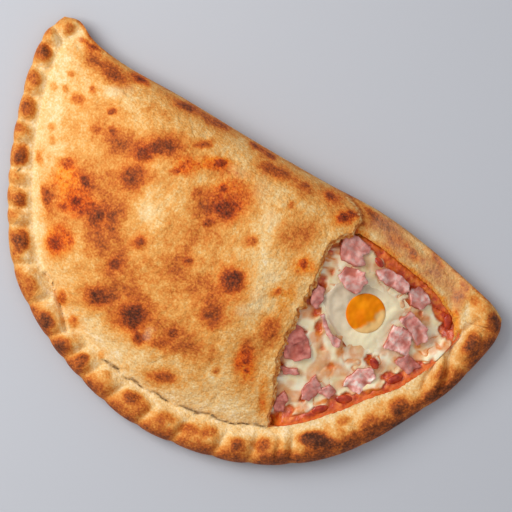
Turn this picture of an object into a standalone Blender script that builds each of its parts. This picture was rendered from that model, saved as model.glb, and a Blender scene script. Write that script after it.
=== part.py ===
"""A calzone: one round of pizza dough folded over its filling, crimped along
the curved side, baked, and torn open near one tip, so that the tomato sauce,
melted mozzarella, ham and baked egg inside show.

All sizes below are millimetres. X runs along the fold from the closed tip to
the open one, Y from the crimped belly to the fold, and Z up. The origin is the
middle of the flat underside.
"""

import math
import random

import bmesh
import bpy
import numpy as np
from mathutils import noise
from mathutils.geometry import delaunay_2d_cdt

MM = 0.001

# Outline of the baked dough seen from above
BELLY = (
    (-155.5, 83.5), (-159.5, 72), (-158.8, 60), (-152.3, 36), (-138.5, 2.5),
    (-120, -29.3), (-96.5, -57), (-65.6, -75.4), (-30.5, -87), (7, -92),
    (43, -87), (77, -75.3), (108, -54), (130, -26.3), (145.5, 6.7),
    (154.2, 28.8), (158.6, 53.7), (159.8, 70), (156, 79.5),
)
FOLD = (
    (156, 79.5), (148, 83), (135, 85.5), (98, 90.4), (62, 91.9), (25, 88.2),
    (-22, 85), (-70, 82.7), (-107, 79.7), (-131, 80.8), (-146, 86), (-155.5, 83.5),
)

# Crimped rim: its width and the seam's height, by the distance along the belly
RIM_WIDTHS = (
    (0, 13), (60, 13), (120, 15.5), (180, 17.5), (240, 19.5), (330, 21.5),
    (400, 24.5), (430, 23), (450, 18.3), (500, 18.3), (515, 20), (528, 22),
)
SEAM_HEIGHTS = ((0, 9.5), (140, 10), (350, 11), (385, 14), (528, 13.5))
PINCHES = (
    -6, 8, 20, 35, 53, 68, 82, 97, 107, 120, 131, 155, 180, 203, 218, 233, 252,
    276, 299, 324, 346, 371, 415, 457, 489, 518, 545,
)
PINCH_DEPTHS = ((0, 5.0), (340, 5.5), (371, 5.0), (400, 2.0), (528, 2.6))
PINCH_NOTCH = 0.24
NOTCH_REACH = 12.0
NOTCH_END = 8.0
MIDDLE = (0.0, 67.0)
PINCH_ROUND = 0.45
PINCH_SLANT = ((0, 2), (250, 4), (330, 7), (400, 2), (528, 0))
CREST_BASE = 9.0
CREST_PER_WIDTH = 0.45
CREST_PLACE = 0.45
RIM_END = 10.0

# Dome over the filling
CREST_LINE = ((-160, 44), (-60, 46.5), (20, 46), (55, 42), (100, 37), (160, 30))
BELLY_SPAN = 95.0
FOLD_SPAN = 45.0
BELLY_EQUATOR = 6.5
FOLD_EQUATOR = 10.5
BELLY_UNDERCUT = 8.0
FOLD_UNDERCUT = 10.0
SWELL = 1.1
SWELL_SIZE = 42.0
SWELL_BELLY = 30.0
SWELL_FOLD = 25.0

# The fold's inner layer lies lower where the top layer is torn off it
STRIP_DROP = 2.2
STRIP_CLEAR = 8.0
STRIP_START = 46.0
STRIP_FADE = 10.0
STRIP_TO_DOME = 14.0
STRIP_TO_FOLD = 4.0

# Net over the crust: spacings along its edges, rows beside them and gaps kept
BELLY_STEP = 3.7
FOLD_STEP = 7.0
SEAM_STEP = 4.2
RIM_ROWS = (0.8, 2.8, 6.0, 9.5)
SEAM_ROWS = (0.72, 0.88, 1.0, 1.25)
FOLD_ROWS = (0.8, 3.0, 7.0)
EDGE_CLEAR = 0.6
DOME_NET = 9.5
DOME_CLEAR = 14.0
SEAM_CLEAR = 4.0
CRUST_LEAST = 1.5
BELLY_FEET = ((3.7, 2.2), (7.4, 8.0))
FOLD_FEET = (2.6, 10.0)
FEET_CLEAR = 1.8
FEET_LEAST = 1.7
BASE_NET = 34.0
BASE_CLEAR = 18.0

# Dough round the filling
SHEET = 4.5
FLOOR = 4.0
POCKET_BASE = ((0, 5.8), (350, 7), (385, 12.5), (450, 12.3), (475, 10.4), (528, 9.5))
POCKET_RIM_INSET = 0.4
POCKET_FOLD_INSET = 5.5
POCKET_START = -130.0
STEEP_FOLD = (7.4, 10.0, 13.5, 19.0, 27.0)

# Torn opening: its ragged edge from the fold down to the rim
TEAR = (
    (55.2, 72.4), (53.8, 70), (48.4, 61.4), (48.8, 49.2), (51.4, 43.1), (53.2, 30.2),
    (55.9, 9.3), (56.4, 3.3), (59.6, -10.9), (64.5, -22.4), (70, -31.5), (74.1, -42.9),
    (77.4, -48.8),
)
OPENING_RIM_START = 358.0
OPENING_FOLD_INSETS = ((110, 17.5), (120, 18.0), (134, 21.5), (142, 27.5), (150, 33))
OPENING_STEP = 4.0
TEAR_STEP = 2.8
RAGGED = 0.8
OVER_CRUST = 65.0
BED = 1.5

# Filling
NET = 8.4
FLAT_NET = 40.0
FLAT_CLEAR = 15.0
NET_CLEAR = 1.2
NET_LEAST = 1.6
GAP = 0.35
ROOF_GAP = 0.85
SETTLED = 2.0
SETTLED_START = -14.0
SETTLED_REACH = 22.0
CHEESE_THICK = 2.1
SAUCE_GAP = 0.5
SAUCE_LEAST = 1.2
CHEESE_RIM_INSET = 5.0
CHEESE_FOLD_INSET = 10.0
EGG_CENTRE = (85.5, 38.5)
EGG_RADIUS = 22.5
EGG_WOBBLE = 0.05
EGG_SIDES = 44
EGG_THICK = 3.0
EGG_RIM = 0.8
EGG_ROUND = 6.0
EGG_NET = 5.0
EGG_CLEAR = 4.0
EGG_UNDER_NET = 5.25
EGG_UNDER_CLEAR = 3.0
EGG_LEAST = 1.8
EGG_RING = 3.0
EGG_RING_SIDES = 34
EGG_DISH = 1.0
DISH_START = 0.75
DISH_REACH = 0.4
YOLK_CENTRE = (87.2, 37.8)
YOLK_RADIUS = 11.6
YOLK_WOBBLE = 0.02
YOLK_SIDES = 24
YOLK_CROWN = 1.6
YOLK_SUNK = 0.4
YOLK_LOOSE = 0.8
YOLK_RING = 2.4
DISH_RING = 1.6
HAM_THICK = 2.6
HAM_UNEVEN = 0.86
HAM_CORNER = 0.18
CHUNK_THICK = 3.6
CHUNK_SIDES = 16
CHUNK_LUMPS = 0.12
LAY_CLEAR = 0.6
LAY_STEP = 0.8
LAY_SPREAD = 1.05

# Diced ham, lowest first: centre, width, depth and turn in degrees
HAM = (
    ((62.3, 64.0), (15.5, 12.5), 8),
    ((70.8, 50.4), (12.0, 12.6), 82),
    ((90.5, 62.8), (20.5, 8.4), -8),
    ((108.7, 62.2), (10.8, 10.8), 65),
    ((59.6, 30.3), (6.6, 12.4), 7),
    ((66.0, 0.2), (12.6, 15.5), 12),
    ((70.4, -15.2), (10.6, 4.2), 22),
    ((118.5, 47.4), (9.8, 15.5), 69),
    ((113.0, 36.0), (14.6, 13.6), 15),
    ((124.9, 26.9), (8.5, 12.0), 81),
    ((106.9, 3.9), (17.4, 10.6), 77),
    ((86.8, -17.2), (13.6, 8.1), 81),
    ((95.6, -12.2), (6.6, 6.0), 75),
    ((77.6, -33.4), (6.8, 11.6), 7),
    ((75.2, 17.4), (4.4, 11.5), 63),
)
# Cooked tomato chunks: centre, length, width and turn in degrees
TOMATO = (
    ((108.0, 16.4), (8.0, 5.6), 155),
    ((105.2, -10.8), (11.0, 6.0), 34),
    ((96.8, -23.6), (11.0, 5.4), 50),
    ((123.4, 15.6), (11.0, 5.4), 58),
    ((130.2, 60.6), (10.0, 5.6), 124),
    ((77.0, 66.6), (7.6, 4.6), 160),
)


def smooth_line(points, step):
    """A Catmull-Rom line through the points, cut at even steps along it."""
    p = np.array(points, float)
    p = np.vstack([2 * p[0] - p[1], p, 2 * p[-1] - p[-2]])
    t = np.linspace(0, 1, 20, endpoint=False)[:, None]
    rows = []
    for a, b, c, d in zip(p, p[1:], p[2:], p[3:]):
        cubic = 2 * b + (c - a) * t + (2 * a - 5 * b + 4 * c - d) * t**2
        rows.append(0.5 * (cubic + (3 * b - a - 3 * c + d) * t**3))
    line = np.vstack([*rows, p[-2:-1]])
    run = np.r_[0, np.cumsum(np.linalg.norm(np.diff(line, axis=0), axis=1))]
    at = np.linspace(0, run[-1], round(run[-1] / step) + 1)
    return np.c_[np.interp(at, run, line[:, 0]), np.interp(at, run, line[:, 1])]


def nearest(points, line):
    """Distance from each point to an open line, and the way along it to there."""
    start, along = line[:-1], np.diff(line, axis=0)
    length = np.linalg.norm(along, axis=1)
    run = np.r_[0, np.cumsum(length)][:-1]
    offset = points[:, None, :] - start
    share = np.clip((offset * along).sum(2) / length**2, 0, 1)
    distance = np.linalg.norm(offset - share[..., None] * along, axis=2)
    k = distance.argmin(1)
    row = np.arange(len(points))
    return distance[row, k], run[k] + share[row, k] * length[k]


def table(pairs, at):
    """Straight-line reading of a table of (place, value) pairs."""
    places, values = zip(*pairs)
    return np.interp(at, places, values)


def round_over(q):
    """Quarter circle: rises steeply from 0 and levels out at 1."""
    return np.sqrt(np.clip(1 - (1 - np.clip(q, 0, 1)) ** 2, 0, 1))


def ease(q):
    q = np.clip(q, 0, 1)
    return q * q * (3 - 2 * q)


BELLY_LINE = smooth_line(BELLY, 2.0)
FOLD_LINE = smooth_line(FOLD, 2.0)


def place(points):
    """Distances of points to the belly and the fold, and the way along the belly."""
    points = np.asarray(points, float).reshape(-1, 2)
    to_belly, along = nearest(points, BELLY_LINE)
    to_fold, _ = nearest(points, FOLD_LINE)
    return to_belly, to_fold, along


def equator(to_belly):
    return BELLY_EQUATOR + (FOLD_EQUATOR - BELLY_EQUATOR) * ease(to_belly / 15)


def pinched(to_belly, along, width):
    """How deep the rim is pinched: 0 on a crimped lobe, 1 in a crease."""
    slanted = along - table(PINCH_SLANT, along) * np.clip(to_belly / width, 0, 1)
    k = np.clip(np.searchsorted(PINCHES, slanted) - 1, 0, len(PINCHES) - 2)
    low = np.array(PINCHES, float)[k]
    high = np.array(PINCHES, float)[k + 1]
    share = np.clip((slanted - low) / (high - low), 0, 1)
    return 1 - np.power(4 * share * (1 - share), PINCH_ROUND)


def dome(points, rim_inset, fold_inset, base, crest):
    """Height of the dome over the seam, for its outside or its inside."""
    to_belly, to_fold, _ = place(points)
    rise = np.clip((to_belly - rim_inset) / BELLY_SPAN, 0, 1)
    return base + (crest - base) * rise * (2 - rise) * round_over((to_fold - fold_inset) / FOLD_SPAN)


def top_of_crust(points):
    points = np.asarray(points, float).reshape(-1, 2)
    to_belly, to_fold, along = place(points)
    width = table(RIM_WIDTHS, along)
    seam = table(SEAM_HEIGHTS, along)
    waist = equator(to_belly)
    crest = CREST_BASE + CREST_PER_WIDTH * width
    crest = crest - table(PINCH_DEPTHS, along) * pinched(to_belly, along, width)
    crest_at = CREST_PLACE * width
    outer = waist + (crest - waist) * round_over(to_belly / crest_at)
    down = 0.5 + 0.5 * np.cos(np.pi * np.clip((to_belly - crest_at) / (width - crest_at), 0, 1))
    inner = seam + (crest - seam) * down
    rim = np.where(to_belly < crest_at, outer, inner)
    rim = waist + (rim - waist) * round_over(to_fold / RIM_END)
    over = dome(points, width, 0, 0, table(CREST_LINE, points[:, 0]) - seam)
    swell = np.array([noise.noise((x / SWELL_SIZE, y / SWELL_SIZE, 3.1)) for x, y in points])
    swell = SWELL * swell * ease((to_belly - width) / SWELL_BELLY) * ease(to_fold / SWELL_FOLD)
    torn_off = ease((points[:, 0] - STRIP_START) / STRIP_FADE)
    torn_off = torn_off * ease((to_belly - width - STRIP_CLEAR) / STRIP_TO_DOME)
    torn_off = torn_off * ease(to_fold / STRIP_TO_FOLD)
    return rim + over + swell - STRIP_DROP * torn_off


def underside(points):
    to_belly, to_fold, _ = place(points)
    inwards = np.minimum(to_belly / BELLY_UNDERCUT, to_fold / FOLD_UNDERCUT)
    return equator(to_belly) * (1 - round_over(inwards))


def roof(points):
    """Inside of the dough sheet over the filling."""
    points = np.asarray(points, float).reshape(-1, 2)
    _, _, along = place(points)
    crest = table(CREST_LINE, points[:, 0]) - SHEET
    inset = table(RIM_WIDTHS, along) + POCKET_RIM_INSET
    return dome(points, inset, POCKET_FOLD_INSET, table(POCKET_BASE, along), crest)


def filling_top(points):
    """The filling fills the pocket and has settled a little in the opening."""
    points = np.asarray(points, float).reshape(-1, 2)
    tear_x, tear_y = np.array(TEAR)[::-1].T
    past_tear = points[:, 0] - np.interp(points[:, 1], tear_y, tear_x)
    settled = SETTLED * ease((past_tear - SETTLED_START) / SETTLED_REACH)
    return roof(points) - ROOF_GAP - settled


def sauce_top(points):
    under_cheese = filling_top(points) - CHEESE_THICK - SAUCE_GAP
    return np.maximum(under_cheese, FLOOR + SAUCE_LEAST)


def floor(points):
    return np.full(len(points), FLOOR)


def thin_out(points, least):
    """Drops points that lie closer than the least distance to one kept before."""
    kept = []
    cells = {}
    for p in points:
        key = (int(p[0] // least), int(p[1] // least))
        near = [cells.get((key[0] + i, key[1] + j)) for i in (-1, 0, 1) for j in (-1, 0, 1)]
        if all(q is None or math.dist(p, q) >= least for q in near):
            cells[key] = p
            kept.append(p)
    return np.array(kept)


def inset_line(line, inset):
    """Points of a line moved to its left by an inset that may vary along it."""
    tangent = np.gradient(line, axis=0)
    tangent /= np.linalg.norm(tangent, axis=1)[:, None]
    return line + np.c_[-tangent[:, 1], tangent[:, 0]] * np.reshape(inset, (-1, 1))


def inset_belly(step, extra):
    line = smooth_line(BELLY, step)
    inset = table(RIM_WIDTHS, np.linspace(0, step * (len(line) - 1), len(line))) + extra
    moved = inset_line(line, inset)
    _, to_fold, along = place(moved)
    return moved, along, to_fold


def inset_loop(step, rim_extra, fold_inset, start_x):
    """The outline moved inwards, by the rim's width on the belly side."""
    belly, _, to_fold = inset_belly(step, rim_extra)
    belly = belly[(to_fold >= fold_inset + 0.5) & (belly[:, 0] > start_x)]
    fold = inset_line(smooth_line(FOLD, step), fold_inset)
    to_belly, _, along = place(fold)
    inside = to_belly >= table(RIM_WIDTHS, along) + rim_extra + 0.5
    fold = fold[inside & (fold[:, 0] > start_x)]
    return split_long(thin_out(np.vstack([belly, fold]), 0.4 * step), 0.8 * step)


def split_long(loop, longest):
    """Adds points on the straight ends of a loop, where its sides don't meet."""
    points = []
    for a, b in zip(loop, np.roll(loop, -1, axis=0)):
        count = max(1, round(math.dist(a, b) / longest))
        points += [a + (b - a) * k / count for k in range(count)]
    return np.array(points)


def cheese_loop():
    return inset_loop(NET, CHEESE_RIM_INSET, CHEESE_FOLD_INSET, POCKET_START + 8)


def fold_inset(points):
    """How far the opening lies inside the fold."""
    return table(OPENING_FOLD_INSETS, points[:, 0])


def opening_loop():
    """The torn edge, then the rim's inner edge and the cut along the fold."""
    rng = random.Random(7)
    tear = smooth_line(TEAR, TEAR_STEP)
    side = np.array([0.0, *[rng.uniform(-RAGGED, RAGGED) for _ in tear[2:]], 0.0])
    tear = inset_line(tear, side)
    belly, along, to_fold = inset_belly(OPENING_STEP, 0.0)
    belly = belly[(along > OPENING_RIM_START + 3) & (to_fold >= fold_inset(belly) + 1)]
    fold = smooth_line(FOLD, OPENING_STEP)
    fold = inset_line(fold, fold_inset(fold))
    to_belly, _, along = place(fold)
    fold = fold[(to_belly >= table(RIM_WIDTHS, along) + 1) & (fold[:, 0] > TEAR[0][0] + 2)]
    return np.vstack([tear, belly, fold])


def inside(points, loop):
    """Which points lie inside a closed loop."""
    x, y = points[:, :1], points[:, 1:]
    x1, y1 = loop[:, 0], loop[:, 1]
    x2, y2 = np.roll(x1, -1), np.roll(y1, -1)
    with np.errstate(divide="ignore", invalid="ignore"):
        crossing = ((y1 > y) != (y2 > y)) & (x < (x2 - x1) * (y - y1) / (y2 - y1) + x1)
    return crossing.sum(1) % 2 == 1


def grid(loop, spacing, clear):
    """Points of an even triangular grid that lie clear of a loop, inside it."""
    row = spacing * math.sqrt(3) / 2
    across, deep = np.abs(loop).max(0)
    columns, rows = math.ceil(across / spacing), math.ceil(deep / row)
    points = []
    for j in range(-rows, rows + 1):
        for i in range(-columns - 1, columns + 1):
            points.append(((i + 0.5 * (j % 2)) * spacing, j * row))
    points = np.array(points)
    points = points[inside(points, loop)]
    away, _ = nearest(points, np.vstack([loop, loop[:1]]))
    return points[away > clear]


def filling_net(loop):
    """Grid points inside a loop, with rows along its edges where the dome is steep."""
    rows = [cheese_loop(), inset_belly(NET, CHEESE_RIM_INSET + 6.0)[0]]
    rows += [inset_line(smooth_line(FOLD, NET), inset) for inset in STEEP_FOLD]
    points = np.vstack([*rows, grid(loop, 1.5 * NET, 0)])
    points = points[inside(points, loop)]
    away, _ = nearest(points, np.vstack([loop, loop[:1]]))
    return thin_out(points[away > NET_CLEAR], NET_LEAST)


def material(name, colour, roughness):
    paint = bpy.data.materials.new(name)
    paint.use_nodes = True
    paint.diffuse_color = (*colour, 1)
    shader = paint.node_tree.nodes["Principled BSDF"]
    shader.inputs["Base Color"].default_value = (*colour, 1)
    shader.inputs["Roughness"].default_value = roughness
    return paint


def triangles(loop, inner):
    """Flat triangle net over a loop and the points inside it."""
    points = [tuple(p) for p in loop] + [tuple(p) for p in inner]
    rim = [(k, (k + 1) % len(loop)) for k in range(len(loop))]
    flat, _, faces, source, _, _ = delaunay_2d_cdt(points, rim, [], 1, 1e-4)
    where = {old: new for new, olds in enumerate(source) for old in olds}
    return np.array([tuple(p) for p in flat]), faces, [where[k] for k in range(len(loop))]


def shell(bm, loop, inner, heights):
    """One face of a body: the net over a loop, lifted to its heights."""
    flat, faces, rim = triangles(loop, inner)
    verts = [bm.verts.new((x * MM, y * MM, z * MM)) for (x, y), z in zip(flat, heights(flat))]
    for face in faces:
        bm.faces.new([verts[k] for k in face])
    return [verts[k] for k in rim]


def add_body(name, bm, collection, paint):
    bmesh.ops.remove_doubles(bm, verts=bm.verts, dist=1e-6)
    bmesh.ops.recalc_face_normals(bm, faces=bm.faces)
    mesh = bpy.data.meshes.new(name)
    bm.to_mesh(mesh)
    bm.free()
    body = bpy.data.objects.new(name, mesh)
    collection.objects.link(body)
    if paint:
        mesh.materials.append(paint)
    mesh.shade_smooth()
    mesh.set_sharp_from_angle(angle=math.radians(40))
    return body


def between(name, collection, paint, loop, top_inner, top, under_inner, under):
    """Closed body over a loop, between an upper and a lower surface."""
    bm = bmesh.new()
    upper = shell(bm, loop, top_inner, top)
    lower = shell(bm, loop, under_inner, under)
    for a, b, c, d in zip(upper, upper[1:] + upper[:1], lower[1:] + lower[:1], lower):
        if (a.co - d.co).length > 1e-6 or (b.co - c.co).length > 1e-6:
            bm.faces.new((a, b, c, d))
    return add_body(name, bm, collection, paint)


def notch(crust):
    """Pulls the rim's outer edge in at each crease, so that its outline is lobed."""
    flat = np.array([(v.co.x, v.co.y) for v in crust.data.vertices]) / MM
    to_belly, to_fold, along = place(flat)
    inwards = np.array(MIDDLE) - flat
    inwards = inwards / np.linalg.norm(inwards, axis=1)[:, None]
    depth = PINCH_NOTCH * table(PINCH_DEPTHS, along) * pinched(to_belly, along, 1e3)
    depth = depth * (1 - ease(to_belly / NOTCH_REACH)) * ease(to_fold / NOTCH_END)
    for v, (x, y) in zip(crust.data.vertices, inwards * depth[:, None] * MM):
        v.co.x += x
        v.co.y += y


def make_crust(parts, cutters):
    """The dough: a pillow, less its pocket of filling and the torn opening."""
    belly, fold = smooth_line(BELLY, BELLY_STEP), smooth_line(FOLD, FOLD_STEP)
    seam = smooth_line(BELLY, SEAM_STEP)
    seam_widths = table(RIM_WIDTHS, np.linspace(0, SEAM_STEP * (len(seam) - 1), len(seam)))
    outline = np.vstack([belly[:-1], fold[:-1]])
    rows = [inset_line(belly, inset) for inset in RIM_ROWS]
    rows += [inset_line(seam, share * seam_widths) for share in SEAM_ROWS]
    rows += [inset_line(fold, inset) for inset in FOLD_ROWS]
    ringed = np.vstack(rows)
    ringed = ringed[inside(ringed, outline)]
    to_belly, to_fold, _ = place(ringed)
    ringed = ringed[np.minimum(to_belly, to_fold) > EDGE_CLEAR]
    inner = grid(outline, DOME_NET, DOME_CLEAR)
    to_belly, _, along = place(inner)
    inner = inner[to_belly > table(RIM_WIDTHS, along) * SEAM_ROWS[-1] + SEAM_CLEAR]
    net = thin_out(np.vstack([ringed, inner]), CRUST_LEAST)
    near, far = [inset_line(smooth_line(BELLY, step), inset) for step, inset in BELLY_FEET]
    near_fold, far_fold = [inset_line(fold, inset) for inset in FOLD_FEET]
    feet = np.vstack([near, near_fold, far, far_fold])
    feet = feet[inside(feet, outline)]
    to_belly, to_fold, _ = place(feet)
    feet = feet[np.minimum(to_belly, to_fold) > FEET_CLEAR]
    base = thin_out(np.vstack([feet, grid(outline, BASE_NET, BASE_CLEAR)]), FEET_LEAST)
    crust = between("crust", parts, material("baked_dough", (0.62, 0.38, 0.15), 0.75),
                    outline, net, top_of_crust, base, underside)
    notch(crust)

    pocket_loop = inset_loop(NET, POCKET_RIM_INSET, POCKET_FOLD_INSET, POCKET_START)
    pocket = between("pocket_cutter", cutters, None, pocket_loop,
                     filling_net(pocket_loop), roof,
                     grid(pocket_loop, FLAT_NET, FLAT_CLEAR), floor)
    prism = between("opening_cutter", cutters, None, opening_loop(),
                    [], lambda p: np.full(len(p), OVER_CRUST),
                    [], lambda p: np.full(len(p), FLOOR + BED))
    for cutter in (pocket, prism):
        cutter.hide_render = True
        cutter.display_type = "WIRE"
        cut = crust.modifiers.new(cutter.name, "BOOLEAN")
        cut.operation = "DIFFERENCE"
        cut.object = cutter
    return crust


def make_sauce(parts):
    """Tomato sauce over the whole floor of the pocket, under the cheese."""
    loop = inset_loop(NET, POCKET_RIM_INSET + GAP, POCKET_FOLD_INSET + GAP, POCKET_START + GAP)
    between("tomato_sauce", parts, material("tomato_sauce", (0.45, 0.06, 0.015), 0.35),
            loop, filling_net(loop), sauce_top,
            grid(loop, FLAT_NET, FLAT_CLEAR), lambda p: floor(p) + GAP)


def make_cheese(parts):
    """Melted mozzarella, a sheet on the sauce that stops short of the rim."""
    loop = cheese_loop()
    inner = filling_net(loop)
    between("mozzarella", parts, material("melted_mozzarella", (0.75, 0.62, 0.38), 0.35),
            loop, inner, filling_top, inner, lambda p: sauce_top(p) + SAUCE_GAP)


def egg_loop(centre, radius, wobble, count, extra):
    """A wavy round outline, as an egg sets in the oven."""
    angles = np.linspace(0, 2 * math.pi, count, endpoint=False)
    waves = 1 + wobble * (0.5 * np.cos(2 * angles - 0.4) + np.cos(3 * angles + 0.9))
    reach = radius * waves + extra
    return np.c_[centre[0] + reach * np.cos(angles), centre[1] + reach * np.sin(angles)]


def egg_white_top(points):
    """The set white, with a shallow dish that the yolk lies in."""
    points = np.asarray(points, float).reshape(-1, 2)
    loop = egg_loop(EGG_CENTRE, EGG_RADIUS, EGG_WOBBLE, EGG_SIDES, 0)
    edge, _ = nearest(points, np.vstack([loop, loop[:1]]))
    from_yolk = np.linalg.norm(points - YOLK_CENTRE, axis=1) / YOLK_RADIUS
    dish = (EGG_THICK - EGG_DISH) * (1 - ease((from_yolk - DISH_START) / DISH_REACH))
    height = EGG_RIM + (EGG_THICK - EGG_RIM) * round_over(edge / EGG_ROUND)
    return filling_top(points) + GAP + height - dish


def yolk_top(points):
    from_centre = np.linalg.norm(points - np.array(YOLK_CENTRE), axis=1) / YOLK_RADIUS
    crown = YOLK_CROWN * (1 - np.clip(from_centre, 0, 1) ** 2)
    return filling_top(points) + 2 * GAP + EGG_THICK - YOLK_SUNK + crown


def yolk_loop(extra):
    return egg_loop(YOLK_CENTRE, YOLK_RADIUS, YOLK_WOBBLE, YOLK_SIDES, extra)


def make_egg(parts):
    """The set white on the cheese, and the yolk in its dish."""
    loop = egg_loop(EGG_CENTRE, EGG_RADIUS, EGG_WOBBLE, EGG_SIDES, 0)
    ring = egg_loop(EGG_CENTRE, EGG_RADIUS, EGG_WOBBLE, EGG_RING_SIDES, -EGG_RING)
    evenly = grid(loop, EGG_NET, EGG_CLEAR)
    net = np.vstack([ring, yolk_loop(DISH_RING), yolk_loop(-YOLK_RING), evenly])
    between("egg_white", parts, material("set_egg_white", (0.78, 0.68, 0.48), 0.3),
            loop, thin_out(net, EGG_LEAST), egg_white_top,
            grid(loop, EGG_UNDER_NET, EGG_UNDER_CLEAR), lambda p: filling_top(p) + GAP)
    round_loop = yolk_loop(-YOLK_LOOSE)
    inner = np.vstack([yolk_loop(-YOLK_RING), grid(round_loop, EGG_NET, EGG_CLEAR)])
    between("egg_yolk", parts, material("egg_yolk", (0.95, 0.38, 0.02), 0.2),
            round_loop, inner, yolk_top, inner, lambda p: egg_white_top(p) + GAP)


def turned(points, centre, degrees):
    c, s = math.cos(math.radians(degrees)), math.sin(math.radians(degrees))
    return np.array([(centre[0] + c * x - s * y, centre[1] + s * x + c * y) for x, y in points])


class Pile:
    """The surface that toppings are laid on, raised by each one laid so far."""

    def __init__(self):
        self.laid = []

    def height(self, points):
        z = filling_top(points)
        loop = egg_loop(EGG_CENTRE, EGG_RADIUS, EGG_WOBBLE, EGG_SIDES, LAY_CLEAR)
        z = np.where(inside(points, loop), np.maximum(z, egg_white_top(points)), z)
        yolk = np.linalg.norm(points - np.array(YOLK_CENTRE), axis=1) < YOLK_RADIUS + LAY_CLEAR
        z = np.where(yolk, np.maximum(z, yolk_top(points)), z)
        for outline, plane in self.laid:
            z = np.where(inside(points, outline), np.maximum(z, points @ plane[:2] + plane[2]), z)
        return z

    def lay(self, outline, thick):
        """Plane of the underside of a flat piece let down until it touches."""
        centre = outline.mean(0)
        around = centre + np.array([(2, 0), (-2, 0), (0, 2), (0, -2)])
        east, west, north, south = filling_top(around)
        slope = np.array([(east - west) / 4, (north - south) / 4])
        low, high = outline.min(0), outline.max(0)
        across, deep = [np.arange(low[k], high[k], LAY_STEP) for k in (0, 1)]
        under = np.stack(np.meshgrid(across, deep), -1).reshape(-1, 2)
        under = np.vstack([under[inside(under, outline)], outline])
        lift = (self.height(under) - under @ slope).max() + GAP
        wide = centre + (outline - centre) * LAY_SPREAD
        self.laid.append((wide, np.array([*slope, lift + thick])))
        return lambda p: p @ slope + lift


def make_ham(parts, pile):
    """Dice of cooked ham: flat pieces with uneven corners, laid on the filling."""
    paint = material("cooked_ham", (0.52, 0.2, 0.19), 0.4)
    rng = random.Random(11)
    for k, (centre, (width, depth), turn) in enumerate(HAM, 1):
        corners = []
        for side_x, side_y in ((-1, -1), (1, -1), (1, 1), (-1, 1)):
            x = side_x * width / 2 * rng.uniform(HAM_UNEVEN, 1.0)
            y = side_y * depth / 2 * rng.uniform(HAM_UNEVEN, 1.0)
            corners.append(np.array([x, y]))
        rounded = []
        for number, corner in enumerate(corners):
            for other in (corners[number - 1], corners[(number + 1) % 4]):
                rounded.append(corner + (other - corner) * HAM_CORNER)
        outline = turned(rounded, centre, turn)
        under = pile.lay(outline, HAM_THICK)
        between(f"ham_{k:02d}", parts, paint, outline, [],
                lambda p, under=under: under(p) + HAM_THICK, [], under)


def make_tomato(parts, pile):
    """Soft chunks of tomato: flattened, lumpy balls."""
    paint = material("cooked_tomato", (0.4, 0.04, 0.015), 0.3)
    for k, (centre, (length, width), turn) in enumerate(TOMATO, 1):
        angles = np.linspace(0, 2 * math.pi, CHUNK_SIDES, endpoint=False)
        oval = np.c_[length / 2 * np.cos(angles), width / 2 * np.sin(angles)]
        outline = turned(oval, centre, turn)
        under = pile.lay(outline, CHUNK_THICK)
        bm = bmesh.new()
        bmesh.ops.create_icosphere(bm, subdivisions=2, radius=1.0)
        for v in bm.verts:
            lump = 1 - CHUNK_LUMPS * abs(noise.noise((v.co.x * 1.4, v.co.y * 1.4, k * 2.7)))
            flat = np.array([(v.co.x * length / 2 * lump, v.co.y * width / 2 * lump)])
            x, y = turned(flat, centre, turn)[0]
            z = under(np.array([[x, y]]))[0] + CHUNK_THICK / 2 * (1 + v.co.z * lump)
            v.co = (x * MM, y * MM, z * MM)
        add_body(f"tomato_{k:02d}", bm, parts, paint)


def new_collection(name):
    made = bpy.data.collections.new(name)
    bpy.context.scene.collection.children.link(made)
    return made


for old in list(bpy.data.objects):
    bpy.data.objects.remove(old)

calzone = new_collection("calzone")
cutting_forms = new_collection("cutting_forms")
make_crust(calzone, cutting_forms)
make_sauce(calzone)
make_cheese(calzone)
make_egg(calzone)
toppings = Pile()
make_ham(calzone, toppings)
make_tomato(calzone, toppings)
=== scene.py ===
"""Looks of a calzone: a folded, crimped and baked pizza, torn open near one tip,
with tomato sauce, melted mozzarella, diced ham and a baked egg showing.

Shapes are worked out in millimetres, in the row frame: X along the fold, Y from
the crimped belly to the fold, Z up. Marks are placed in pixels of the photo.
"""

import math

import bpy
import numpy as np
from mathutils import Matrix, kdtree


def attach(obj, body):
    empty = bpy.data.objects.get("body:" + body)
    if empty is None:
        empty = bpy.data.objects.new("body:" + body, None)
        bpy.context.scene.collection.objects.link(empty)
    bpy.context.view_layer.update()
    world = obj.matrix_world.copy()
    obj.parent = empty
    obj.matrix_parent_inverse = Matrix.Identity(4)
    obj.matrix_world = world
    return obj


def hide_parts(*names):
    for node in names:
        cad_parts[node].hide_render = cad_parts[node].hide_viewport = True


MM = 0.001

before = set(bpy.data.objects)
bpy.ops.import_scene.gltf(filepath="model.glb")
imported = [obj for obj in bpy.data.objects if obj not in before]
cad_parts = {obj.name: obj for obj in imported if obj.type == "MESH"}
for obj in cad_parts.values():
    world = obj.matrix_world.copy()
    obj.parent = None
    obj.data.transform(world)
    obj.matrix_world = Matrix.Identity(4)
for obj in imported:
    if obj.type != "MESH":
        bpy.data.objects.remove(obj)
bpy.ops.object.select_all(action="DESELECT")
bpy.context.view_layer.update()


# Camera, light and floor
# The photo looks straight down on a pale grey table. Soft daylight comes from its
# upper left, so that the shadows fall to the lower right.

PHOTO_TURN = math.radians(34)
PHOTO_CENTRE = (15.85, 29.8)
PIXEL = 0.58758
PHOTO_SIDE = 512
CAMERA_HEIGHT = 2000.0
SENSOR = 36.0

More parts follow.
